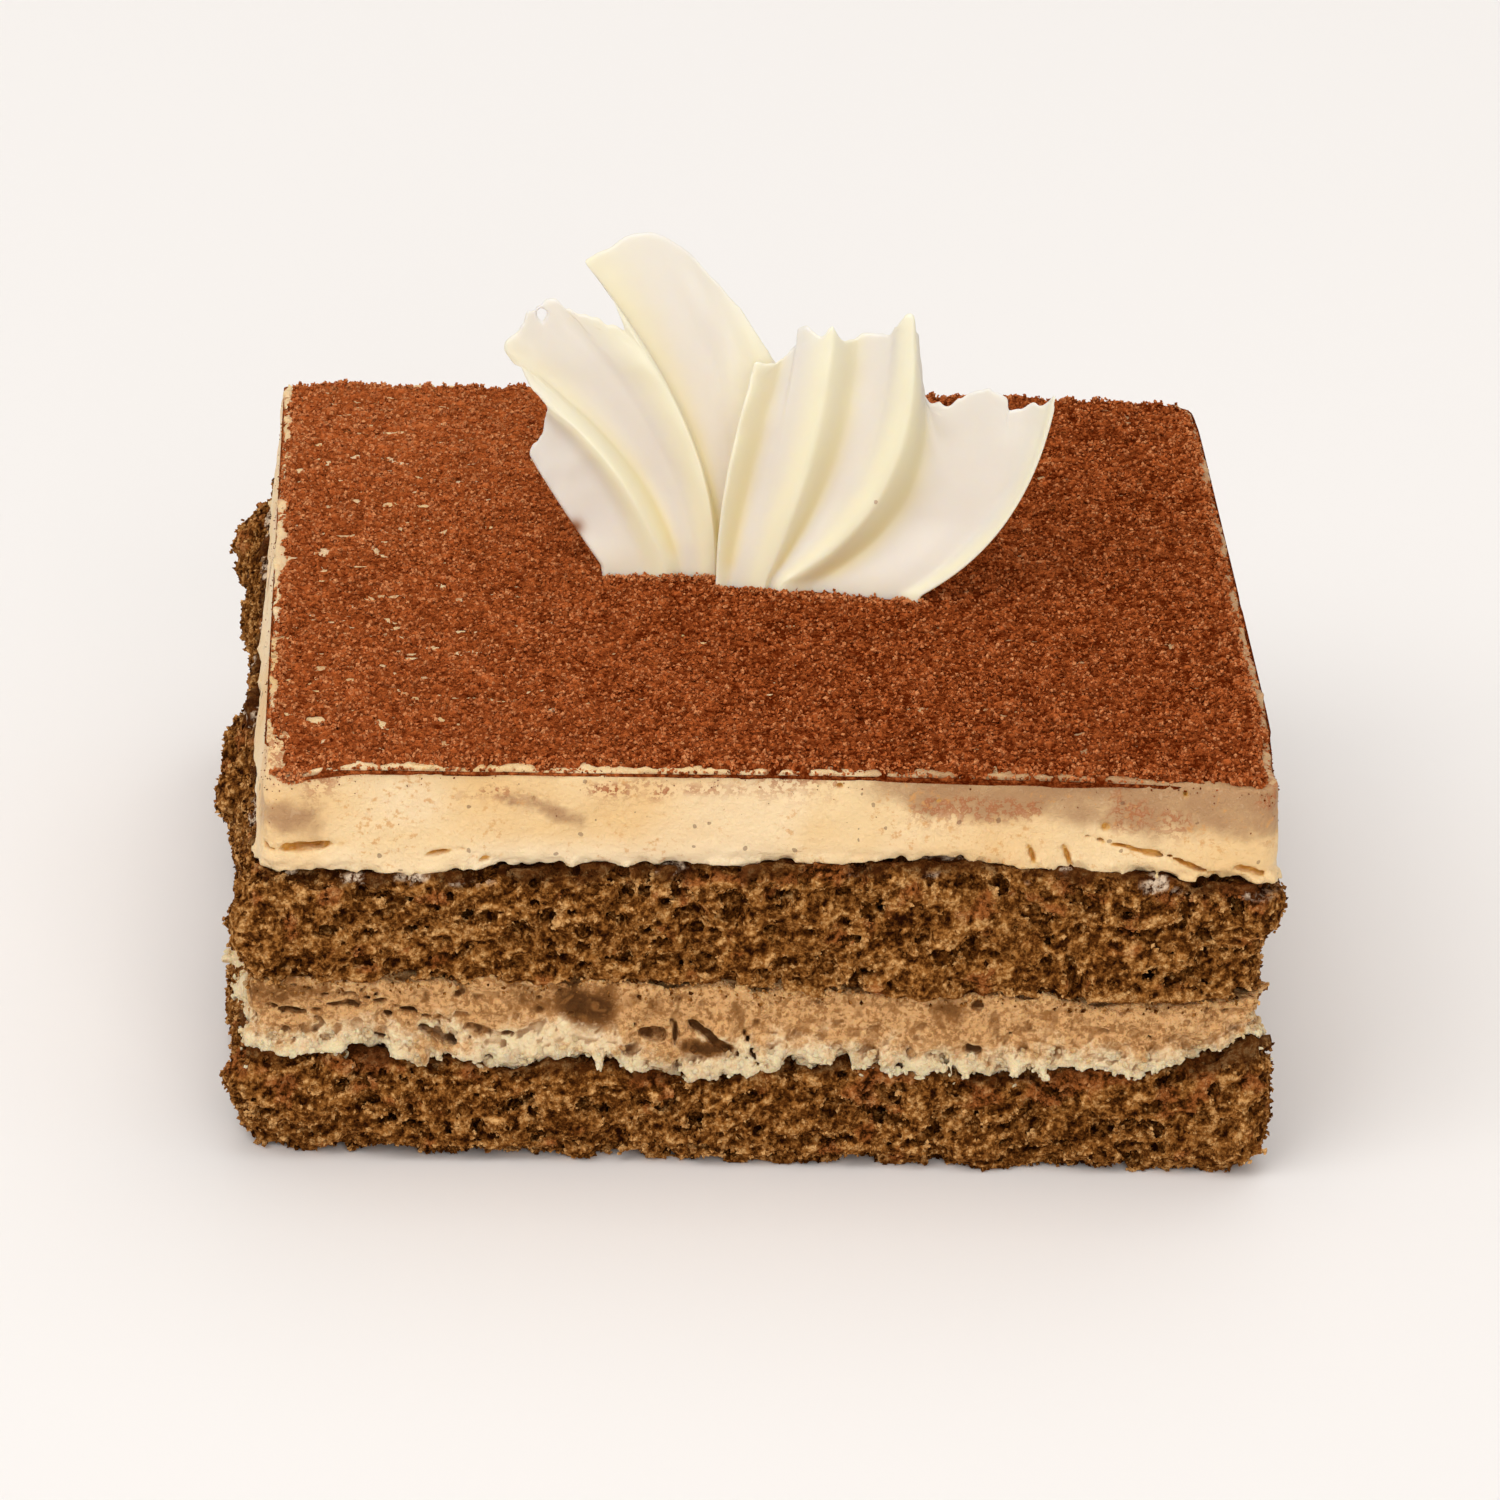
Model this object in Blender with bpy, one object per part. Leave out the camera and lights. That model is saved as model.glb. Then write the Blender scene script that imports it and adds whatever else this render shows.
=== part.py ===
"""Tiramisu portion: a square block of coffee-soaked sponge and mascarpone cream under a skin of cocoa,
with two fluted fans of white chocolate pushed into its top.

Metres, +Z up, origin at the centre of the flat underside. The front faces -Y. Sizes are named in
millimetres, and each mesh is brought to metres when it is finished.
"""

import math
from dataclasses import dataclass

import bmesh
import bpy
from mathutils import Matrix, Vector, noise

MM = 0.001

# The block
SIDE = 85.0  # length of each side of the square
CORNER = 1.6  # radius of the upright corners left by the knife
GAP = 0.3  # clearance between pieces that touch
BASE_INSET = 1.2  # how far the underside's edge draws in
INNER_SCALE = 0.86  # where a boundary between layers has settled to its plane
RISE_X = 0.7  # the right side of the top stands this much higher than the left
LEFT_LEAN = 1.7  # how far the left wall has slumped outwards
LEAN_DEPTH = 12.4  # depth below the top by which it has
LEAN_SPAN = 56.0  # half the length over which it has

# Mean heights of the boundaries between the layers
LOWER_SPONGE_TOP = 9.9
LOWER_CREAM_TOP = 16.0
UPPER_SPONGE_TOP = 27.5
UPPER_CREAM_TOP = 36.7
COCOA_TOP = 37.5

# Points round the block
SIDE_POINTS = 19
CORNER_POINTS = 3

# The chocolate fans
FAN_THICKNESS = 1.3
FAN_LEAN = 10.0  # degrees that a fan leans back
FAN_ROOT = 3.0  # depth of a fan's foot in the cream
FAN_FOOT_HEIGHT = 37.4
CREST_STEPS = 2  # columns for each stretch of a crest
PETAL_ROWS = 9
SLOT_LIP = 1.6  # how far a slot's cutter reaches above the block


@dataclass(frozen=True)
class Swell:
    """A local rise of a boundary or of a wall, in mm; a droop or a hollow is below zero."""

    x: float
    y: float
    width: float
    rise: float

    def at(self, x, y):
        squared = ((x - self.x) ** 2 + (y - self.y) ** 2) / self.width**2
        return self.rise * math.exp(-squared)


@dataclass(frozen=True)
class Boundary:
    """The surface where one layer ends and the next begins."""

    height: float
    tilt: float = 0.0  # share of the top's tilt that this boundary has
    swells: tuple = ()

    def plane(self, x, y):
        return self.height + self.tilt * RISE_X * x / SIDE

    def edge(self, x, y):
        return self.plane(x, y) + sum(swell.at(x, y) for swell in self.swells)


FRONT, BACK, LEFT, RIGHT = -SIDE / 2, SIDE / 2, -SIDE / 2, SIDE / 2

UNDERSIDE = Boundary(0.0)
SPONGE_TO_CREAM = Boundary(
    LOWER_SPONGE_TOP,
    0.2,
    (
        Swell(-24, FRONT, 4.5, -2.9),
        Swell(-6, FRONT, 7.0, -2.2),
        Swell(17.5, FRONT, 4.0, -1.9),
        Swell(RIGHT, FRONT, 5.0, 3.2),
        Swell(RIGHT, -14, 5.5, -2.2),
        Swell(RIGHT, 12, 8.0, 1.0),
        Swell(RIGHT, 27, 5.0, -1.8),
        Swell(23, BACK, 6.5, -2.4),
        Swell(-3, BACK, 7.0, 0.9),
        Swell(-21, BACK, 4.5, -2.6),
        Swell(LEFT, 22, 6.0, -2.1),
        Swell(LEFT, 2, 8.0, 0.8),
        Swell(LEFT, -19, 5.0, -2.7),
    ),
)
CREAM_TO_SPONGE = Boundary(
    LOWER_CREAM_TOP,
    0.4,
    (
        Swell(-20, FRONT, 9.0, 0.6),
        Swell(29, FRONT, 8.0, -0.7),
        Swell(RIGHT, -6, 9.0, 0.7),
        Swell(RIGHT, 24, 7.0, -0.8),
        Swell(14, BACK, 9.0, 0.8),
        Swell(-26, BACK, 8.0, -0.7),
        Swell(LEFT, 16, 9.0, 0.6),
        Swell(LEFT, -14, 8.0, -0.6),
    ),
)
SPONGE_TO_TOP_CREAM = Boundary(
    UPPER_SPONGE_TOP,
    0.6,
    (
        Swell(LEFT, FRONT, 17.0, -1.7),
        Swell(14, FRONT, 18.0, 1.6),
        Swell(35, FRONT, 6.0, -0.5),
        Swell(RIGHT, -8, 12.0, -1.0),
        Swell(RIGHT, 22, 11.0, 0.9),
        Swell(20, BACK, 13.0, -1.2),
        Swell(-16, BACK, 12.0, 1.0),
        Swell(LEFT, 18, 11.0, -1.1),
    ),
)
TOP_SWELLS = (
    Swell(LEFT, FRONT, 3.4, -1.7),
    Swell(RIGHT, FRONT, 9.0, -1.4),
    Swell(6, FRONT, 20.0, 0.3),
    Swell(RIGHT, BACK, 6.0, -0.4),
)
TOP_OF_CREAM = Boundary(UPPER_CREAM_TOP, 1.0, TOP_SWELLS)
TOP_OF_COCOA = Boundary(COCOA_TOP, 1.0, TOP_SWELLS)


@dataclass(frozen=True)
class Layer:
    """One layer: what it lies between, and how its cut walls stand in or out."""

    node: str
    bottom: Boundary
    top: Boundary
    reach: float  # mean distance that the wall stands out
    unevenness: float
    grain: float  # size of the wall's lumps
    lumps: tuple = ()  # (x, y, z, width, reach) of single lumps and hollows


LAYERS = (
    Layer(
        "sponge_lower",
        UNDERSIDE,
        SPONGE_TO_CREAM,
        0.7,
        0.8,
        7.0,
        (
            (LEFT, FRONT, 4.0, 4.0, 1.2),
            (LEFT, FRONT, 0.0, 3.0, -1.6),
            (LEFT, -22.0, 6.0, 7.0, 1.2),
            (LEFT, 19.0, 5.0, 6.0, 1.1),
            (RIGHT, FRONT, 2.5, 5.0, 0.7),
            (RIGHT, 15.0, 5.0, 7.0, 0.9),
            (-15.0, BACK, 5.0, 7.0, 1.0),
        ),
    ),
    Layer(
        "cream_lower",
        SPONGE_TO_CREAM,
        CREAM_TO_SPONGE,
        0.1,
        0.6,
        9.0,
        ((RIGHT, FRONT, 13.0, 4.0, -1.0),),
    ),
    Layer(
        "sponge_upper",
        CREAM_TO_SPONGE,
        SPONGE_TO_TOP_CREAM,
        0.4,
        0.9,
        7.0,
        (
            (RIGHT, FRONT, 26.3, 3.0, 1.5),
            (RIGHT, FRONT, 17.0, 5.0, -1.0),
            (LEFT, 29.0, 23.0, 5.0, 2.0),
            (LEFT, -15.0, 19.0, 7.0, 1.6),
            (LEFT, -36.0, 22.0, 6.0, 0.9),
            (RIGHT, 18.0, 22.0, 6.0, 1.2),
            (12.0, BACK, 21.0, 7.0, 1.1),
        ),
    ),
    Layer("cream_upper", SPONGE_TO_TOP_CREAM, TOP_OF_CREAM, 0.1, 0.35, 16.0),
)
WALL_STEPS = (0.12, 0.38, 0.66, 0.9)
COCOA_MARGIN = 0.9  # mean width of the bare rim of cream round the cocoa
COCOA_RINGS = (0.97, 0.89, 0.78, 0.65, 0.5, 0.34, 0.18)
COCOA_LIP = 0.28  # thickness of its ragged edge
COCOA_RIPPLE = 0.16


def outline():
    """(point, outward direction) pairs round the square, anticlockwise from the front edge's left end."""
    straight = SIDE / 2 - CORNER
    pairs = []
    for quarter in range(4):
        turn = Matrix.Rotation(quarter * math.pi / 2, 2)
        for i in range(SIDE_POINTS):
            along = -straight + 2 * straight * i / (SIDE_POINTS - 1)
            pairs.append((turn @ Vector((along, FRONT)), turn @ Vector((0, -1))))
        for i in range(1, CORNER_POINTS + 1):
            angle = -math.pi / 2 + i * math.pi / 2 / (CORNER_POINTS + 1)
            out = Vector((math.cos(angle), math.sin(angle)))
            centre = Vector((straight, -straight))
            pairs.append((turn @ (centre + CORNER * out), turn @ out))
    return pairs


OUTLINE = outline()


def first_ring(bm, places):
    """A closed loop of vertices at the given places, capped with one face."""
    made = bmesh.ops.create_circle(bm, cap_ends=True, segments=len(places), radius=1.0)
    ring = sorted(made["verts"], key=lambda vert: math.atan2(vert.co.y, vert.co.x))
    for vert, place in zip(ring, places):
        vert.co = place
    return ring


def next_ring(bm, ring, places):
    """The ring extruded to the given places."""
    loop = [bm.edges.get(pair) for pair in zip(ring, ring[1:] + ring[:1])]
    made = bmesh.ops.extrude_edge_only(bm, edges=loop)["geom"]
    fresh = {item for item in made if isinstance(item, bmesh.types.BMVert)}
    above = []
    for vert, place in zip(ring, places):
        twin = next(edge.other_vert(vert) for edge in vert.link_edges if edge.other_vert(vert) in fresh)
        twin.co = place
        above.append(twin)
    return above


def split_band(bm, outer, inner):
    """Gives the faces between two rings the same diagonals on every layer, so that neighbours never cross."""
    for i, vert in enumerate(outer):
        bmesh.ops.connect_verts(bm, verts=[vert, inner[(i + 1) % len(inner)]])


def finish(bm, name, colour, roughness, smooth=True):
    """A named object in metres with its own material."""
    bmesh.ops.recalc_face_normals(bm, faces=bm.faces)
    bm.transform(Matrix.Scale(MM, 4))
    mesh = bpy.data.meshes.new(name)
    bm.to_mesh(mesh)
    bm.free()
    if smooth:
        mesh.shade_smooth()
        mesh.set_sharp_from_angle(angle=math.radians(40))
    material = bpy.data.materials.new(name)
    material.use_nodes = True
    shader = material.node_tree.nodes["Principled BSDF"]
    shader.inputs["Base Color"].default_value = (*colour, 1.0)
    shader.inputs["Roughness"].default_value = roughness
    shader.inputs["Metallic"].default_value = 0.0
    mesh.materials.append(material)
    piece = bpy.data.objects.new(name, mesh)
    bpy.context.scene.collection.objects.link(piece)
    return piece


def slumped(place, out, z):
    """A place on the outline, moved out where the left wall has slumped."""
    depth = min(max(UPPER_CREAM_TOP - z, 0) / LEAN_DEPTH, 1)
    lean = LEFT_LEAN * max(-out.x, 0) * depth * (1 - (place.y / LEAN_SPAN) ** 2)
    return place + out * lean


def wall_point(layer, place, out, share):
    """A point on a layer's cut wall, share of the way up it."""
    low = layer.bottom.edge(place.x, place.y) + (GAP if layer.bottom is not UNDERSIDE else 0)
    high = layer.top.edge(place.x, place.y)
    z = low + share * (high - low)
    spot = Vector((place.x, place.y, z))
    reach = layer.reach + layer.unevenness * noise.noise(spot / layer.grain)
    for x, y, height, width, lump in layer.lumps:
        reach += lump * math.exp(-((spot - Vector((x, y, height))).length_squared) / width**2)
    return Vector((*(slumped(place, out, z) + out * reach), z))


def boundary_rings(boundary, lift):
    """(outer, inner) places on a boundary: its uneven edge, and the plane that it settles to."""
    inset = BASE_INSET if boundary is UNDERSIDE else 0.0
    outer = []
    inner = []
    for place, out in OUTLINE:
        z = boundary.edge(*place)
        outer.append(Vector((*(slumped(place, out, z) - out * inset), z + lift)))
        settled = place * INNER_SCALE
        inner.append(Vector((*settled, boundary.plane(*settled) + lift)))
    return outer, inner


def build_layer(layer, colour, roughness):
    """A layer as a stack of rings: in from the lower boundary's plane, up the wall, in to the upper one's."""
    bm = bmesh.new()
    lift = 0.0 if layer.bottom is UNDERSIDE else GAP
    low_edge, low_inner = boundary_rings(layer.bottom, lift)
    high_edge, high_inner = boundary_rings(layer.top, 0.0)
    inner = first_ring(bm, low_inner)
    ring = next_ring(bm, inner, low_edge)
    split_band(bm, ring, inner)
    for share in WALL_STEPS:
        ring = next_ring(bm, ring, [wall_point(layer, place, out, share) for place, out in OUTLINE])
    ring = next_ring(bm, ring, high_edge)
    inner = next_ring(bm, ring, high_inner)
    split_band(bm, ring, inner)
    bmesh.ops.contextual_create(bm, geom=inner)
    return finish(bm, layer.node, colour, roughness)


def cocoa_point(place, scale):
    """A point on the cocoa's rippled top, which droops with the cream's edge."""
    x, y = place * scale
    ripple = COCOA_RIPPLE * noise.noise(Vector((x, y, 0)) / 6.0)
    settled = min((1 - scale) / (1 - INNER_SCALE), 1)
    droop = (TOP_OF_COCOA.edge(*place) - TOP_OF_COCOA.plane(*place)) * (1 - settled)
    return Vector((x, y, TOP_OF_COCOA.plane(x, y) + droop + ripple))


def build_cocoa():
    """The skin of cocoa: a thin slab with a ragged edge, stopping just short of the cream's."""
    bm = bmesh.new()
    rim, settled = boundary_rings(TOP_OF_CREAM, GAP)
    edge = []
    for outer, inner in zip(rim, settled):
        margin = COCOA_MARGIN * (0.5 + 0.9 * noise.noise(Vector((outer.x, outer.y, 0)) / 5.0))
        edge.append(outer.lerp(inner, max(margin, 0.15) / (outer - inner).length))
    inner = first_ring(bm, settled)
    ring = next_ring(bm, inner, edge)
    split_band(bm, ring, inner)
    ring = next_ring(bm, ring, [place + Vector((0, 0, COCOA_LIP)) for place in edge])
    for scale in COCOA_RINGS:
        ring = next_ring(bm, ring, [cocoa_point(place, scale) for place, out in OUTLINE])
    cap = bmesh.ops.contextual_create(bm, geom=ring)["faces"]
    bmesh.ops.triangulate(bm, faces=cap)
    return finish(bm, "cocoa_dusting", (0.25, 0.07, 0.022), 0.95)


@dataclass(frozen=True)
class Petal:
    """One flute of a fan, in mm in the fan's own plane: along its foot, then up.

    Its two ribs bend from their root through a control point, and its crest runs between their tips.
    """

    left: tuple  # root and control point of the left rib
    right: tuple
    crest: tuple
    depth: float

    def column(self, share):
        """(root, bend, tip) of the line that runs up the petal at this share of its width."""
        root = Vector(self.left[0]).lerp(Vector(self.right[0]), share)
        bend = Vector(self.left[1]).lerp(Vector(self.right[1]), share)
        step = share * (len(self.crest) - 1)
        i = min(int(step), len(self.crest) - 2)
        return root, bend, Vector(self.crest[i]).lerp(Vector(self.crest[i + 1]), step - i)


@dataclass(frozen=True)
class Fan:
    """A fan of chocolate: where its foot stands, which way it faces, and its petals from left to right."""

    node: str
    foot: tuple
    turn: float  # degrees about Z
    petals: tuple
    swerve: float  # how far the tips curl back

    def place(self):
        upright = Matrix.Rotation(math.radians(self.turn), 4, "Z")
        lean = Matrix.Rotation(math.radians(-FAN_LEAN), 4, "X")
        return Matrix.Translation((*self.foot, FAN_FOOT_HEIGHT)) @ upright @ lean


LEFT_FAN = Fan(
    "chocolate_fan_left",
    (-8.75, -2.5),
    4.0,
    (
        Petal(
            ((-5.0, 0.4), (-8.0, 5.5)),
            ((0.4, 0.6), (-3.5, 10.5)),
            ((-11.2, 10.1), (-10.9, 11.8), (-10.3, 13.4), (-9.8, 14.9)),
            1.6,
        ),
        Petal(
            ((0.4, 0.6), (-3.5, 10.5)),
            ((4.9, 0.6), (4.6, 12.1)),
            ((-9.8, 14.9), (-13.1, 20.0), (-10.6, 24.3), (-7.6, 23.4), (-3.8, 22.6)),
            2.0,
        ),
        Petal(
            ((4.9, 0.6), (4.6, 12.1)),
            ((7.0, 0.4), (9.5, 9.0)),
            ((-3.8, 22.6), (-6.7, 28.0), (-2.0, 30.5), (3.4, 27.6), (7.6, 23.2), (9.9, 18.6)),
            1.8,
        ),
    ),
    2.0,
)
RIGHT_FAN = Fan(
    "chocolate_fan_right",
    (4.85, -5.65),
    -8.0,
    (
        Petal(
            ((-8.6, 0.4), (-9.0, 8.7)),
            ((-4.5, 0.4), (-0.2, 11.7)),
            ((-6.6, 20.1), (-4.2, 20.5), (-2.7, 23.4), (0.2, 23.7)),
            1.4,
        ),
        Petal(
            ((-4.5, 0.4), (-0.2, 11.7)),
            ((-3.2, 0.4), (9.5, 6.9)),
            ((0.2, 23.7), (2.2, 22.8), (4.4, 23.6), (6.8, 25.4)),
            2.0,
        ),
        Petal(
            ((-3.2, 0.4), (9.5, 6.9)),
            ((8.5, 0.2), (18.0, 6.3)),
            ((6.8, 25.4), (8.1, 19.3), (9.8, 17.5), (13.8, 19.6), (16.3, 17.8), (20.4, 19.3)),
            2.2,
        ),
    ),
    1.0,
)


def fan_columns(fan):
    """(column, flute depth) pairs across the fan; a rib is shared by the petals on its two sides."""
    columns = []
    for number, petal in enumerate(fan.petals):
        steps = CREST_STEPS * (len(petal.crest) - 1)
        for i in range(1 if number else 0, steps + 1):
            share = i / steps
            columns.append((petal.column(share), petal.depth * math.sin(math.pi * share)))
    return columns


def fan_point(fan, column, flute, share):
    """A point of the fan's mid surface in its own frame: along the foot, back, up."""
    root, bend, tip = column
    along, up = (1 - share) ** 2 * root + 2 * share * (1 - share) * bend + share**2 * tip
    back = flute * share**0.8 + fan.swerve * share**2
    return Vector((along, back, up))


def fan_sheet(fan, thickness, rows, columns):
    """A sheet through the given points of each column, thickened and set in its place."""
    bm = bmesh.new()
    bmesh.ops.create_grid(bm, x_segments=len(columns) - 1, y_segments=len(rows) - 1, size=1.0)
    bm.verts.ensure_lookup_table()
    order = sorted(bm.verts, key=lambda vert: (round(vert.co.x, 5), round(vert.co.y, 5)))
    for i, (column, flute) in enumerate(columns):
        for j, row in enumerate(rows):
            order[i * len(rows) + j].co = row(fan, column, flute)
    bm.normal_update()
    for vert in bm.verts:
        vert.co -= vert.normal * thickness / 2
    bmesh.ops.solidify(bm, geom=bm.faces[:], thickness=-thickness)
    bm.transform(fan.place())
    return bm


def buried(depth):
    """A row of the fan's foot, straight down from its columns' roots."""
    return lambda fan, column, flute: Vector((column[0].x, 0.0, column[0].y - depth))


def grown(share):
    """A row of the fan, this share of the way from its columns' roots to their tips."""
    return lambda fan, column, flute: fan_point(fan, column, flute, share)


def build_fan(fan):
    """A fluted fan with its foot below the cream's surface."""
    rows = [buried(FAN_ROOT)] + [grown((j / (PETAL_ROWS - 1)) ** 0.85) for j in range(PETAL_ROWS)]
    bm = fan_sheet(fan, FAN_THICKNESS, rows, fan_columns(fan))
    return finish(bm, fan.node, (0.87, 0.74, 0.58), 0.35)


def build_slot(fan):
    """The hidden cutter for a fan's slot: its foot, larger all round by the gap."""
    roots = [column[0].x for column, _ in fan_columns(fan)]
    ends = (min(roots) - GAP, max(roots) + GAP)
    bm = bmesh.new()
    bmesh.ops.create_cube(bm, size=1.0)
    width = FAN_THICKNESS + 2 * GAP
    low, high = -FAN_ROOT - GAP, SLOT_LIP
    size = Vector((ends[1] - ends[0], width, high - low))
    middle = Vector(((ends[0] + ends[1]) / 2, 0.0, (low + high) / 2))
    bm.transform(Matrix.Translation(middle) @ Matrix.Diagonal((*size, 1.0)))
    bm.transform(fan.place())
    cutter = finish(bm, fan.node + "_slot", (0.5, 0.5, 0.5), 0.5, smooth=False)
    cutter.hide_render = True
    cutter.display_type = "WIRE"
    return cutter


def cut(piece, cutter):
    """Cuts a slot from a piece."""
    modifier = piece.modifiers.new("slot for " + cutter.name, "BOOLEAN")
    modifier.operation = "DIFFERENCE"
    modifier.solver = "EXACT"
    modifier.object = cutter


def main():
    for old in list(bpy.data.objects):
        bpy.data.objects.remove(old, do_unlink=True)
    looks = {
        "sponge_lower": ((0.19, 0.07, 0.018), 0.9),
        "cream_lower": ((0.55, 0.32, 0.15), 0.6),
        "sponge_upper": ((0.20, 0.075, 0.02), 0.9),
        "cream_upper": ((0.90, 0.64, 0.34), 0.45),
    }
    pieces = {layer.node: build_layer(layer, *looks[layer.node]) for layer in LAYERS}
    cocoa = build_cocoa()
    for fan in (LEFT_FAN, RIGHT_FAN):
        build_fan(fan)
        slot = build_slot(fan)
        cut(pieces["cream_upper"], slot)
        cut(cocoa, slot)


main()
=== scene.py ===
"""Looks of a tiramisu portion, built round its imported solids.

Each layer of the block, the cocoa and the two fans of white chocolate is a class that builds its mesh and dresses
it. Shapes are worked out in millimetres and brought to metres when a piece is finished. Heights, walls and places
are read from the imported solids, so every piece lies where its solid does.
"""

import itertools
import logging
import math
from dataclasses import dataclass, field
from enum import IntEnum
from typing import Iterable, Sequence

import bmesh
import bpy
import numpy as np
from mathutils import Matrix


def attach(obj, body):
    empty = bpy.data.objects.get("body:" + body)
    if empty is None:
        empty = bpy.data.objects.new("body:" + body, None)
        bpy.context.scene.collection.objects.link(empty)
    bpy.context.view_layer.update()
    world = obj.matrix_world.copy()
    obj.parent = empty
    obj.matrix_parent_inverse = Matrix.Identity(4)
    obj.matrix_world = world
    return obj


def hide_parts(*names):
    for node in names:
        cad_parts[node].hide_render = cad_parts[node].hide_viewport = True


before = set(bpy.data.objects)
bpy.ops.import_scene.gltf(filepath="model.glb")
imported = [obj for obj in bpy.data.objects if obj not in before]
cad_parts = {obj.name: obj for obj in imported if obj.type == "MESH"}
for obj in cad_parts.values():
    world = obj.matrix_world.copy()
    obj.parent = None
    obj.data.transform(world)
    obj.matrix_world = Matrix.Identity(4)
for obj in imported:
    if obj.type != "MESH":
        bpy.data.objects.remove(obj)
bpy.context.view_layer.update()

import openvdb
from mathutils import Matrix, Vector
from mathutils.bvhtree import BVHTree

log = logging.getLogger("tiramisu")

MM = 0.001
HALF = 42.5  # half the block's side
ROOT = "root"

Colour = tuple[float, float, float]
Array = np.ndarray


class Side(IntEnum):
    """The block's walls, anticlockwise."""

    FRONT = 0
    RIGHT = 1
    BACK = 2
    LEFT = 3


# ---------------------------------------------------------------------------------------------- helpers


@dataclass(frozen=True)
class Noise:
    """Smooth random values on a lattice, the same each run.

    Attributes:
        cell: Size of a lattice cell, in mm.
        seed: Which lattice.
        stretch: Cell size along x, y and z, as multiples of cell.
    """

    cell: float
    seed: int
    stretch: tuple[float, float, float] = (1.0, 1.0, 1.0)

    def at(self, points: Array) -> Array:
        """The noise at points.

        Args:
            points: Places in mm, with x, y and z along the last axis.

        Returns:
            One value for each point, about -1 to 1.
        """
        span = 61
        lattice = np.random.default_rng(self.seed).uniform(-1, 1, (span, span, span)).astype(np.float32)
        where = np.asarray(points, np.float32) / (self.cell * np.array(self.stretch, np.float32))
        low = np.floor(where).astype(np.int32)
        part = where - low
        part = part * part * (3 - 2 * part)
        total = np.zeros(where.shape[:-1], np.float32)
        for corner in itertools.product((0, 1), repeat=3):
            share = np.prod(np.where(corner, part, 1 - part), axis=-1)
            index = (low + np.array(corner)) % span
            total += share * lattice[index[..., 0], index[..., 1], index[..., 2]]
        return total * 1.4


def smoothstep(low: float, high: float, values: Array) -> Array:
    """0 below low, 1 above high, and a smooth rise between."""
    share = np.clip((values - low) / (high - low), 0, 1)
    return share * share * (3 - 2 * share)


def perimeter(x: Array, y: Array) -> tuple[Array, Array]:
    """Polar coordinates of a square.

    Args:
        x: Places along X.
        y: Places along Y.

    Returns:
        The place round the square, from 0 at the front left corner to 4, and the distance from its centre
        to the concentric square through the point.
    """
    reach = np.maximum(np.maximum(np.abs(x), np.abs(y)), 1e-6)
    u, v = x / reach, y / reach
    front, right, back = (u + 1) / 2, 1 + (v + 1) / 2, 2 + (1 - u) / 2
    station = np.where(-y >= reach, front, np.where(x >= reach, right, np.where(y >= reach, back, 3 + (1 - v) / 2)))
    return station % 4, reach


def square_point(station: float, reach: float) -> tuple[float, float]:
    """The point at a place round the square, reach from its centre."""
    along = (station % 1) * 2 - 1
    corners = ((along, -1), (1, along), (-along, 1), (-1, -along))
    x, y = corners[int(station) % 4]
    return x * reach, y * reach


def along_wall(side: Side, x: Array, y: Array) -> Array:
    """Distance from a wall's middle towards the next wall."""
    return (x, y, -x, -y)[side]


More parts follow.
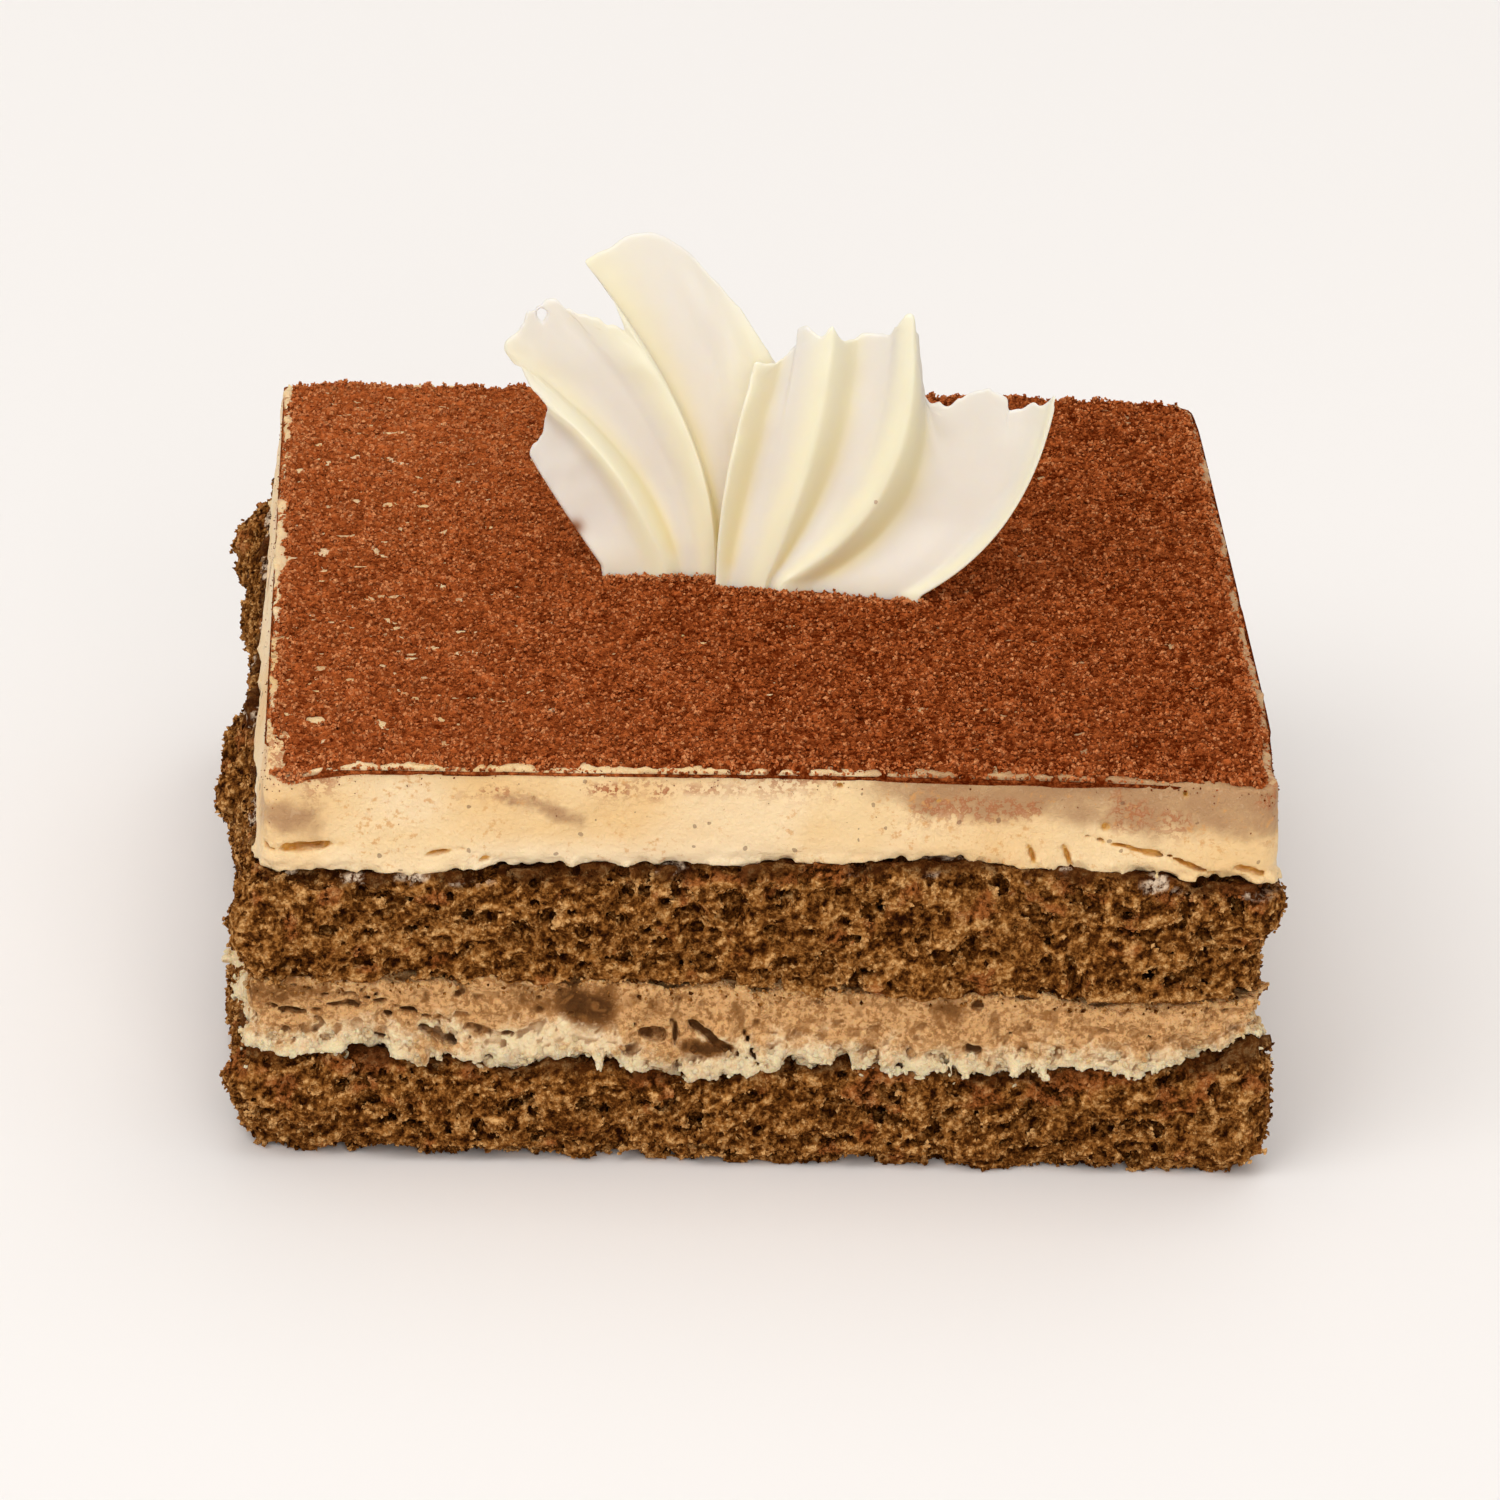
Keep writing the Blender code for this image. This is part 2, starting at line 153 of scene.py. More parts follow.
@dataclass
class LayerProbe:
    """A layer's edges and wall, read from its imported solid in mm.

    Attributes:
        node: The layer's CAD node.
        stations: How many places round the block are read.
        levels: At how many heights the wall is read.
        edge_depth: How far behind the wall its edges are read.
        settled: Share of the way out by which its faces have settled to planes.
    """

    node: str
    stations: int = 320
    levels: int = 9
    edge_depth: float = 1.6
    settled: float = 0.84

    def __post_init__(self) -> None:
        """Reads the solid by casting rays at it."""
        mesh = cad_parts[self.node].data
        corners = [vert.co / MM for vert in mesh.vertices]
        self.tree = BVHTree.FromPolygons(corners, [face.vertices[:] for face in mesh.polygons])
        self.at = np.arange(self.stations) * 4 / self.stations
        edge = [self.span(*square_point(s, HALF - self.edge_depth)) for s in self.at]
        self.low_edge, self.high_edge = np.array(edge).T
        inner = [square_point(s, HALF * self.settled) for s in self.at[::8]]
        spans = np.array([self.span(*place) for place in inner])
        design = np.column_stack([np.array(inner), np.ones(len(inner))])
        self.low_plane = np.linalg.lstsq(design, spans[:, 0], rcond=None)[0]
        self.high_plane = np.linalg.lstsq(design, spans[:, 1], rcond=None)[0]
        self.shares = (np.arange(self.levels) + 0.5) / self.levels
        self.wall = np.array([[self.reach(s, i, share) for share in self.shares] for i, s in enumerate(self.at)])
        self.thickness = float(np.mean(self.high_edge - self.low_edge))

    def span(self, x: float, y: float) -> tuple[float, float]:
        """The solid's lowest and highest z on the upright line through a point."""
        up = self.tree.ray_cast(Vector((x, y, -50)), Vector((0, 0, 1)))[0]
        down = self.tree.ray_cast(Vector((x, y, 150)), Vector((0, 0, -1)))[0]
        return up.z, down.z

    def reach(self, station: float, index: int, share: float) -> float:
        """How far from the centre the wall lies at a station, share of the way up."""
        z = self.low_edge[index] + share * (self.high_edge[index] - self.low_edge[index])
        start = Vector((*square_point(station, HALF * 2), z))
        hit = self.tree.ray_cast(start, Vector((-start.x, -start.y, 0)).normalized())[0]
        return max(abs(hit.x), abs(hit.y)) if hit else HALF

    def around(self, values: Array, station: Array) -> Array:
        """Values that were read at the stations, at any places round the block."""
        return np.interp(station, np.append(self.at, 4.0), np.append(values, values[:1]))

    def heights(self, x: Array, y: Array) -> tuple[Array, Array]:
        """The layer's underside and top at points anywhere on the block."""
        station, reach = perimeter(x, y)
        inward = smoothstep(self.edge_depth, HALF * (1 - self.settled), HALF - reach)
        found = []
        for edge, plane in ((self.low_edge, self.low_plane), (self.high_edge, self.high_plane)):
            flat = plane[0] * x + plane[1] * y + plane[2]
            found.append(self.around(edge, station) * (1 - inward) + flat * inward)
        return found[0], found[1]

    def wall_at(self, station: Array, share: Array) -> Array:
        """The wall's distance from the centre at places round the block, share of the way up."""
        columns = np.stack([self.around(self.wall[:, i], station) for i in range(self.levels)], axis=-1)
        place = np.clip(share * self.levels - 0.5, 0, self.levels - 1.001)
        low = np.floor(place).astype(int)
        part = place - low
        first = np.take_along_axis(columns, low[..., None], -1)[..., 0]
        second = np.take_along_axis(columns, low[..., None] + 1, -1)[..., 0]
        return first * (1 - part) + second * part


@dataclass(frozen=True)
class Grains:
    """Small lumps of one kind, to be joined into one mesh.

    Attributes:
        sides: How many sides a lump has round its axis.
        rings: How many rings of faces it has.
        squash: How much each axis may shrink, as a share.
        seed: Which random lumps.
    """

    sides: int = 4
    rings: int = 2
    squash: float = 0.45
    seed: int = 5

    def shape(self) -> tuple[Array, Array]:
        """One round lump of radius 1: its vertices, and its triangles."""
        bm = bmesh.new()
        bmesh.ops.create_uvsphere(bm, u_segments=self.sides, v_segments=self.rings, radius=1.0)
        bmesh.ops.triangulate(bm, faces=bm.faces)
        corners = np.array([vert.co for vert in bm.verts])
        faces = np.array([[vert.index for vert in face.verts] for face in bm.faces])
        bm.free()
        return corners, faces

    def joined(self, centres: Array, radii: Array) -> tuple[Array, Array]:
        """A lump at each centre, turned and squashed at random.

        Args:
            centres: The lumps' places.
            radii: Their radii.

        Returns:
            All their vertices, and all their triangles.
        """
        rng = np.random.default_rng(self.seed)
        corners, faces = self.shape()
        count = len(centres)
        axes = np.linalg.qr(rng.normal(size=(count, 3, 3)))[0]
        axes *= np.sign(np.linalg.det(axes))[:, None, None]
        size = radii[:, None] * rng.uniform(1 - self.squash, 1 + self.squash * 0.5, (count, 3))
        bumpy = corners[None] * rng.uniform(0.75, 1.25, (count, len(corners), 1))
        verts = np.einsum("nij,nkj->nki", axes, bumpy * size[:, None]) + centres[:, None]
        index = faces[None] + (np.arange(count) * len(corners))[:, None, None]
        return verts.reshape(-1, 3), index.reshape(-1, 3)

    def corners(self) -> int:
        """How many vertices a lump has."""
        return len(self.shape()[0])


@dataclass(frozen=True)
class Mark:
    """A tear, bubble, hollow or stain on a cut wall.

    Attributes:
        side: Which wall.
        along: Where its middle is, in mm from the wall's middle towards the next wall.
        level: How high its middle is, as a share of the layer.
        length: Half its length, in mm.
        thick: Half its height, in mm.
        deep: How far it goes in, in mm.
        slope: How much it rises along its length.
    """

    side: Side
    along: float
    level: float
    length: float
    thick: float
    deep: float = 1.0
    slope: float = 0.0

    def spread(self, places: Array, height: float) -> Array:
        """How far out each place lies on the wall, 1 at the mark's edge.

        Args:
            places: Places in the flat layer, in mm.
            height: The layer's thickness there.
        """
        along = along_wall(self.side, places[:, 0], places[:, 1]) - self.along
        up = places[:, 2] - self.level * height - self.slope * along
        out = along_wall((self.side + 3) % 4, places[:, 0], places[:, 1])
        off = np.where(out > HALF - 6, 0.0, 9.0)
        return np.hypot(np.hypot(along / self.length, up / self.thick), off)


def connected(open_to: Array, seeds: Array, steps: int) -> Array:
    """The voxels of open_to that can be reached from seeds in a number of steps."""
    reached = seeds & open_to
    for _ in range(steps):
        grown = reached.copy()
        for axis in range(3):
            ahead = [slice(None)] * 3
            behind = [slice(None)] * 3
            ahead[axis], behind[axis] = slice(1, None), slice(None, -1)
            grown[tuple(ahead)] |= reached[tuple(behind)]
            grown[tuple(behind)] |= reached[tuple(ahead)]
        reached = grown & open_to
    return reached


def blurred(values: Array, radius: int) -> Array:
    """The mean of each voxel's neighbourhood, by a running sum along each axis."""
    width = 2 * radius + 1
    for axis in range(3):
        pad = [(0, 0)] * 3
        pad[axis] = (radius + 1, radius)
        total = np.cumsum(np.pad(values, pad, mode="edge"), axis=axis, dtype=np.float32)
        ahead = [slice(None)] * 3
        behind = [slice(None)] * 3
        ahead[axis], behind[axis] = slice(width, None), slice(None, -width)
        values = (total[tuple(ahead)] - total[tuple(behind)]) / width
    return values


def mesh_of(name: str, verts: Array, faces: Sequence, values: dict[str, Array]) -> bpy.types.Mesh:
    """A mesh from places in mm, with a value for each vertex under each name."""
    mesh = bpy.data.meshes.new(name)
    mesh.from_pydata(verts * MM, [], faces)
    for key, numbers in values.items():
        layer = mesh.attributes.new(key, "FLOAT", "POINT")
        layer.data.foreach_set("value", np.ascontiguousarray(numbers, np.float32))
    mesh.shade_smooth()
    return mesh


def finished(mesh: bpy.types.Mesh, material: bpy.types.Material, node: str = "") -> bpy.types.Object:
    """Puts a piece in the scene, riding on the block.

    Args:
        mesh: Its mesh, in metres and in place, under the piece's name.
        material: Its finish.
        node: The CAD node that it replaces, if it replaces one.

    Returns:
        The piece.
    """
    mesh.materials.append(material)
    piece = bpy.data.objects.new(mesh.name, mesh)
    bpy.context.scene.collection.objects.link(piece)
    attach(piece, ROOT)
    if node:
        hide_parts(node)
    log.info("%s: %d vertices, %d faces", piece.name, len(mesh.vertices), len(mesh.polygons))
    return piece


# -------------------------------------------------------------------------------------------- materials


class Graph:
    """Short calls for adding and joining the nodes of one tree."""

    def __init__(self, tree: bpy.types.NodeTree) -> None:
        """Takes the tree to work on."""
        self.tree = tree

    def add(self, kind: str, inputs: dict | None = None, **settings: object) -> bpy.types.Node:
        """Adds a node.

        Args:
            kind: The node's type, without its ShaderNode prefix.
            inputs: Values or output sockets for its inputs, by name or number.
            settings: The node's own properties.

        Returns:
            The node.
        """
        node = self.tree.nodes.new(kind if kind.startswith("Node") else "ShaderNode" + kind)
        for key, value in settings.items():
            setattr(node, key, value)
        for key, value in (inputs or {}).items():
            socket = node.inputs[key]
            if isinstance(value, bpy.types.NodeSocket):
                self.tree.links.new(value, socket)
            else:
                socket.default_value = value
        return node

    def attribute(self, name: str) -> bpy.types.NodeSocket:
        """A value that the mesh carries at each vertex."""
        return self.add("Attribute", attribute_name=name).outputs["Fac"]

    def math(self, operation: str, *values: object, clamp: bool = False) -> bpy.types.NodeSocket:
        """The result of a Math node."""
        node = self.add("Math", dict(enumerate(values)), operation=operation, use_clamp=clamp)
        return node.outputs[0]

    def rise(
        self, value: bpy.types.NodeSocket, low: float, high: float, start: float = 0.0, end: float = 1.0
    ) -> bpy.types.NodeSocket:
        """The value brought from between low and high to between start and end, smoothly and clamped."""
        inputs = {"Value": value, "From Min": low, "From Max": high, "To Min": start, "To Max": end}
        return self.add("MapRange", inputs, interpolation_type="SMOOTHSTEP").outputs[0]

    def weighted(self, *pairs: tuple[bpy.types.NodeSocket, float]) -> bpy.types.NodeSocket:
        """The sum of values, each times its weight."""
        total = 0.0
        for value, weight in pairs:
            total = self.math("MULTIPLY_ADD", value, weight, total)
        return total

    def mix(self, share: object, first: object, second: object) -> bpy.types.NodeSocket:
        """Two colours mixed."""
        node = self.add("Mix", {0: share, 6: rgba(first), 7: rgba(second)}, data_type="RGBA")
        return node.outputs[2]

    def ramp(self, value: bpy.types.NodeSocket, stops: Sequence[tuple[float, Colour]]) -> bpy.types.NodeSocket:
        """A colour ramp through the given stops."""
        node = self.add("ValToRGB", {0: value})
        band = node.color_ramp
        while len(band.elements) < len(stops):
            band.elements.new(0.5)
        for element, (place, colour) in zip(band.elements, stops):
            element.position = place
            element.color = rgba(colour)
        return node.outputs[0]


def rgba(colour: object) -> object:
    """A colour with its alpha, or a socket as it is."""
    return (*colour, 1.0) if isinstance(colour, tuple) and len(colour) == 3 else colour


def new_group(name: str, inputs: Iterable[str], outputs: Iterable[str]) -> tuple[Graph, bpy.types.Node]:
    """An empty shader group with float sockets: its graph, and its input node."""
    tree = bpy.data.node_groups.new(name, "ShaderNodeTree")
    for socket in inputs:
        tree.interface.new_socket(socket, in_out="INPUT", socket_type="NodeSocketFloat")
    for socket in outputs:
        tree.interface.new_socket(socket, in_out="OUTPUT", socket_type="NodeSocketFloat")
    graph = Graph(tree)
    return graph, graph.add("NodeGroupInput")


def mottle_group() -> bpy.types.NodeTree:
    """Cloudy variation at two scales: Scale in; Broad and Fine out, each 0 to 1."""
    graph, start = new_group("mottle", ("Scale",), ("Broad", "Fine"))
    place = graph.add("TexCoord").outputs["Object"]
    broad = graph.add("TexNoise", {"Vector": place, "Scale": start.outputs["Scale"], "Detail": 3.0})
    finer = graph.math("MULTIPLY", start.outputs["Scale"], 7.3)
    fine = graph.add("TexNoise", {"Vector": place, "Scale": finer, "Detail": 4.0, "Roughness": 0.65})
    spread = {"Broad": graph.rise(broad.outputs["Fac"], 0.3, 0.7), "Fine": graph.rise(fine.outputs["Fac"], 0.3, 0.7)}
    graph.add("NodeGroupOutput", spread)
    return graph.tree


def grain_group() -> bpy.types.NodeTree:
    """Close-packed grains: Scale in; Tone (one value a grain) and Dome (1 on its top, 0 between grains) out."""
    graph, start = new_group("grain", ("Scale",), ("Tone", "Dome"))
    place = graph.add("TexCoord").outputs["Object"]
    warp = graph.add("TexNoise", {"Vector": place, "Scale": 1500.0, "Detail": 2.0}).outputs["Color"]
    shifted = graph.add("VectorMath", {0: warp, 3: 0.0005}, operation="SCALE").outputs[0]
    moved = graph.add("VectorMath", {0: place, 1: shifted}, operation="ADD").outputs[0]
    cells = graph.add("TexVoronoi", {"Vector": moved, "Scale": start.outputs["Scale"]})
    tone = graph.add("SeparateColor", {0: cells.outputs["Color"]}).outputs[0]
    dome = graph.rise(cells.outputs["Distance"], 0.05, 0.7, 1.0, 0.0)
    graph.add("NodeGroupOutput", {"Tone": tone, "Dome": dome})
    return graph.tree


def speck_group() -> bpy.types.NodeTree:
    """Scattered small spots: Scale, Size and Share in; Mask out, 1 in a spot."""
    graph, start = new_group("speck", ("Scale", "Size", "Share"), ("Mask",))
    place = graph.add("TexCoord").outputs["Object"]
    warp = graph.add("TexNoise", {"Vector": place, "Scale": 1400.0, "Detail": 2.0}).outputs["Color"]
    shifted = graph.add("VectorMath", {0: warp, 3: 0.0005}, operation="SCALE").outputs[0]
    moved = graph.add("VectorMath", {0: place, 1: shifted}, operation="ADD").outputs[0]
    cells = graph.add("TexVoronoi", {"Vector": moved, "Scale": start.outputs["Scale"]})
    pick = graph.add("SeparateColor", {0: cells.outputs["Color"]})
    size = graph.math("MULTIPLY", start.outputs["Size"], graph.math("ADD", pick.outputs[1], 0.4))
    near = graph.math("LESS_THAN", cells.outputs["Distance"], size)
    chosen = graph.math("LESS_THAN", pick.outputs[0], start.outputs["Share"])
    graph.add("NodeGroupOutput", {"Mask": graph.math("MULTIPLY", near, chosen)})
    return graph.tree


GROUPS = {"mottle": mottle_group(), "grain": grain_group(), "speck": speck_group()}


@dataclass(frozen=True)
class Finish:
    """What every finish has: its name and the shader's even values.

    Attributes:
        name: The material's name.
        roughness: The shader's roughness.
        scatter: Weight of light scattered below the surface.
        depth: How far it scatters, in metres.
        scatter_tint: How far each colour goes, relative to depth.
        gloss: The shader's specular level.
    """

    name: str
    roughness: float = 0.6
    scatter: float = 0.0
    depth: float = 0.001
    scatter_tint: Colour = (1.0, 0.6, 0.3)
    gloss: float = 0.5

    def material(self) -> bpy.types.Material:
        """The finish as a material, made once."""
        if self.name in bpy.data.materials:
            return bpy.data.materials[self.name]
        made = bpy.data.materials.new(self.name)
        made.use_nodes = True
        shader = made.node_tree.nodes["Principled BSDF"]
        values = {
            "Roughness": self.roughness,
            "Subsurface Weight": self.scatter,
            "Subsurface Radius": self.scatter_tint,
            "Subsurface Scale": self.depth,
            "Specular IOR Level": self.gloss,
        }
        for name, value in values.items():
            shader.inputs[name].default_value = value
        self.dress(Graph(made.node_tree), shader)
        return made

    def dress(self, graph: Graph, shader: bpy.types.Node) -> None:
        """Adds the finish's colour and relief."""
        raise NotImplementedError

    def group(self, graph: Graph, name: str, **values: float) -> bpy.types.NodeOutputs:
        """A shared group placed in the graph with its own values: its outputs."""
        node = graph.add("Group", node_tree=GROUPS[name])
        for key, value in values.items():
            node.inputs[key].default_value = value
        return node.outputs

    def link(
        self, graph: Graph, shader: bpy.types.Node, colour: bpy.types.NodeSocket, height: object, relief: float
    ) -> None:
        """Joins the colour and the relief to the shader.

        Args:
            graph: The material's graph.
            shader: Its Principled BSDF.
            colour: The surface's colour.
            height: Its relief, 0 to 1.
            relief: What 1 stands for, in metres.
        """
        graph.tree.links.new(colour, shader.inputs["Base Color"])
        bump = graph.add("Bump", {"Height": height, "Distance": relief, "Strength": 1.0})
        graph.tree.links.new(bump.outputs["Normal"], shader.inputs["Normal"])


@dataclass(frozen=True)
class SpongeFinish(Finish):
    """Coffee-soaked sponge: ochre on the crumb's ridges and dark in its pits, its own tones with painted light on the
    ridges and painted shade in the pits, and darker along its top, both soaked and in painted shade under the cream.
    """

    # the darkest colour is painted shade at the bottom of pits, and the lightest is a painted highlight on the open
    # ridges
    dark: Colour = (0.017, 0.0032, 0.0002)
    brown: Colour = (0.120, 0.036, 0.0048)
    ochre: Colour = (0.36, 0.142, 0.030)
    tip: Colour = (0.76, 0.42, 0.155)
    red: Colour = (0.36, 0.085, 0.022)
    # near black: the coffee-soaked top of the sponge together with painted shade of the gap under the cream
    wet_and_shade: Colour = (0.050, 0.012, 0.002)
    smear: Colour = (0.84, 0.66, 0.48)

    def dress(self, graph: Graph, shader: bpy.types.Node) -> None:
        """Colours the crumb by how hemmed in it is, with grains of its own: painted shade in the pits and between the
        grains, painted light on the open ridges.
        """
        mottle = self.group(graph, "mottle", Scale=230.0)
        grain = self.group(graph, "grain", Scale=2600.0)
        # painted light and shade: the pit value darkens the hollows and the grains' domes darken the gaps between
        # them, over the crumb's own tones
        openness = graph.weighted(
            (graph.attribute("pit"), -1.15),
            (graph.attribute("tone"), 0.40),
            (grain["Tone"], 0.16),
            (grain["Dome"], 0.16),
            (mottle["Fine"], 0.50),
            (mottle["Broad"], 0.08),
        )
        lifted = graph.math("ADD", openness, 0.46)
        crumb = graph.ramp(lifted, ((0.12, self.dark), (0.40, self.brown), (0.66, self.ochre), (0.98, self.tip)))
        blush = graph.math("MULTIPLY", graph.attribute("red"), graph.rise(lifted, 0.25, 0.6, 0.0, 0.8))
        reddish = graph.mix(blush, crumb, self.red)
        # darker along the top: soaked with coffee, and painted shade under the cream above
        soaked = graph.mix(graph.math("MULTIPLY", graph.attribute("soak"), 0.8), reddish, self.wet_and_shade)
        cover = graph.math("MULTIPLY", graph.attribute("smear"), graph.rise(mottle["Fine"], 0.15, 0.7))
        height = graph.weighted((grain["Dome"], 0.6), (mottle["Fine"], 0.4))
        self.link(graph, shader, graph.mix(cover, soaked, self.smear), height, 0.0003)


@dataclass(frozen=True)
class CreamFinish(Finish):
    """Mascarpone cream: pale yellow, with grey-beige stains where coffee has crept in and a few brown specks."""

    pale: Colour = (0.89, 0.645, 0.345)
    deep: Colour = (0.83, 0.525, 0.22)
    white: Colour = (0.94, 0.74, 0.48)
    stain: Colour = (0.43, 0.228, 0.097)
    cocoa: Colour = (0.40, 0.10, 0.014)
    speck: Colour = (0.14, 0.045, 0.015)
    orange: Colour = (0.66, 0.30, 0.075)
    # golden painted shade, for the hollows inside tears
    tear_shade: Colour = (0.72, 0.38, 0.07)

    def dress(self, graph: Graph, shader: bpy.types.Node) -> None:
        """Colours the cream by its stain, smear and tear values, with the tears' hollows in golden painted shade."""
        mottle = self.group(graph, "mottle", Scale=75.0)
        blotch = self.group(graph, "mottle", Scale=260.0)
        ground = graph.mix(mottle["Broad"], self.deep, self.pale)
        bloomed = graph.mix(graph.math("MULTIPLY", graph.attribute("bloom"), 0.8), ground, self.white)
        wander = graph.weighted((graph.attribute("stain"), 1.0), (blotch["Broad"], 0.16), (blotch["Fine"], 0.16))
        grey = graph.mix(graph.rise(wander, 0.14, 1.16, 0.0, 0.95), bloomed, self.stain)
        smears = graph.math("MULTIPLY", graph.attribute("smear"), graph.rise(blotch["Fine"], 0.42, 0.66))
        dusted = graph.mix(smears, grey, self.cocoa)
        # painted shade: the hollows of the tears are painted golden
        torn = graph.mix(graph.attribute("tear"), dusted, self.tear_shade)
        fine = self.group(graph, "speck", Scale=950.0, Size=0.16, Share=0.16)["Mask"]
        coarse = self.group(graph, "speck", Scale=420.0, Size=0.11, Share=0.14)["Mask"]
        freckle = self.group(graph, "mottle", Scale=220.0)
        warm = graph.rise(graph.weighted((freckle["Fine"], 1.0), (freckle["Broad"], 0.4)), 1.0, 1.4, 0.0, 0.7)
        lighter = graph.mix(graph.rise(blotch["Fine"], 0.75, 1.0, 0.0, 0.14), torn, self.white)
        warmed = graph.mix(warm, lighter, self.orange)
        dark = graph.math("MULTIPLY", graph.math("MAXIMUM", fine, coarse), 0.55)
        height = graph.weighted((mottle["Fine"], 0.5), (blotch["Fine"], 0.5))
        self.link(graph, shader, graph.mix(dark, warmed, self.speck), height, 0.00016)


@dataclass(frozen=True)
class CoffeeCreamFinish(Finish):
    """The lower cream: grainy beige where it has drunk coffee, pale and fluffy along its lower edge."""

    pale: Colour = (1.0, 0.775, 0.48)
    beige: Colour = (0.79, 0.445, 0.185)
    # the soaked grain's own darker colour, also used as painted shade in hollows; the darkest colour is painted shade
    # in cracks and cuts
    tan_and_shade: Colour = (0.34, 0.140, 0.036)
    crack_shade: Colour = (0.12, 0.040, 0.008)
    brown: Colour = (0.110, 0.040, 0.0085)

    def dress(self, graph: Graph, shader: bpy.types.Node) -> None:
        """Colours the cream by how much it has soaked up, with painted shade in its cracks and hollows."""
        mottle = self.group(graph, "mottle", Scale=330.0)
        grain = self.group(graph, "grain", Scale=2000.0)
        spread = graph.weighted((graph.attribute("soak"), 1.0), (mottle["Fine"], 0.4), (mottle["Broad"], 0.35))
        ground = graph.mix(graph.rise(spread, 0.25, 1.35), self.pale, self.beige)
        shade = graph.weighted((grain["Tone"], 0.40), (mottle["Fine"], 0.60), (mottle["Broad"], 0.15))
        deepened = graph.math("MULTIPLY", graph.rise(shade, 0.46, 0.84), graph.attribute("soak"))
        grained = graph.mix(graph.math("MULTIPLY", deepened, 0.78), ground, self.tan_and_shade)
        blot = graph.math("MULTIPLY", graph.attribute("stain"), graph.rise(shade, 0.15, 0.6, 0.7, 1.0))
        warmed = graph.mix(graph.rise(blot, 0.0, 0.5), grained, self.tan_and_shade)
        browned = graph.mix(graph.rise(blot, 0.15, 0.8), warmed, self.brown)
        # painted shade: darker in hollows and near black in cracks, by how hemmed in each place is
        recess_shaded = graph.mix(graph.rise(graph.attribute("pit"), 0.50, 0.62, 0.0, 0.7), browned, self.tan_and_shade)
        cracks = graph.rise(graph.attribute("pit"), 0.58, 0.76, 0.0, 0.85)
        height = graph.weighted((grain["Dome"], 0.5), (mottle["Fine"], 0.5))
        self.link(graph, shader, graph.mix(cracks, recess_shaded, self.crack_shade), height, 0.00032)


@dataclass(frozen=True)
class CocoaFinish(Finish):
    """Cocoa powder in fine grains: red-brown, with painted shade between the grains and in the hollows of its relief.
    """

    # the darkest colour is painted shade in the hollows and in the gaps between grains
    dark: Colour = (0.105, 0.0125, 0.0012)
    brown: Colour = (0.520, 0.124, 0.029)
    light: Colour = (0.82, 0.35, 0.140)

    def dress(self, graph: Graph, shader: bpy.types.Node) -> None:
        """Colours the powder grain by grain, with painted shade in its hollows and painted light towards the left and
        back.
        """
        mottle = self.group(graph, "mottle", Scale=330.0)
        grain = self.group(graph, "grain", Scale=3000.0)
        # painted light and shade: lift is low in the relief's hollows and high towards the left and back, and the
        # grains' domes darken the gaps between them, over random tones
        shade = graph.weighted(
            (graph.attribute("lift"), 0.75),
            (grain["Tone"], 0.14),
            (grain["Dome"], 0.10),
            (mottle["Fine"], 0.20),
            (mottle["Broad"], 0.06),
        )
        powder = graph.ramp(shade, ((0.14, self.dark), (0.50, self.brown), (1.0, self.light)))
        height = graph.weighted((grain["Dome"], 0.7), (mottle["Fine"], 0.3))
        self.link(graph, shader, powder, height, 0.0003)


@dataclass(frozen=True)
class ChocolateFinish(Finish):
    """White chocolate: ivory where it is thin, creamier along the ribs and painted yellow shade beside them, with tiny
    specks.
    """

    ivory: Colour = (0.80, 0.73, 0.645)
    cream: Colour = (0.93, 0.83, 0.60)
    # yellow painted shade, for the valleys beside the ribs
    valley_shade: Colour = (0.87, 0.73, 0.38)
    speck: Colour = (0.30, 0.11, 0.03)

    def dress(self, graph: Graph, shader: bpy.types.Node) -> None:
        """Colours the chocolate by how thick it is, with painted yellow shade near the foot of a rib."""
        mottle = self.group(graph, "mottle", Scale=110.0)
        thick = graph.weighted((graph.attribute("rib"), 1.0), (mottle["Broad"], 0.14), (mottle["Fine"], 0.06))
        ground = graph.mix(graph.rise(thick, 0.12, 0.95), self.ivory, self.cream)
        # painted shade: the valleys on the ribs' right sides are painted yellow
        shaded = graph.mix(graph.math("MULTIPLY", graph.attribute("valley"), 0.85), ground, self.valley_shade)
        spots = self.group(graph, "speck", Scale=300.0, Size=0.07, Share=0.05)["Mask"]
        burnt = graph.mix(graph.attribute("burnt"), shaded, self.speck)
        spotted = graph.mix(graph.math("MULTIPLY", spots, 0.5), burnt, self.speck)
        self.link(graph, shader, spotted, mottle["Broad"], 0.00008)


SPONGE = SpongeFinish("soaked sponge", roughness=0.9, gloss=0.03)
CREAM = CreamFinish("mascarpone cream", roughness=0.5, scatter=0.2, depth=0.001, gloss=0.4)
COFFEE_CREAM = CoffeeCreamFinish("coffee cream", roughness=0.8, scatter=0.4, depth=0.001, gloss=0.08)
COCOA = CocoaFinish("cocoa powder", roughness=1.0, gloss=0.0)
CHOCOLATE = ChocolateFinish(
    "white chocolate", roughness=0.38, scatter=0.6, depth=0.0016, scatter_tint=(1.0, 0.8, 0.5), gloss=0.45
)


# --------------------------------------------------------------------------------------------- the block


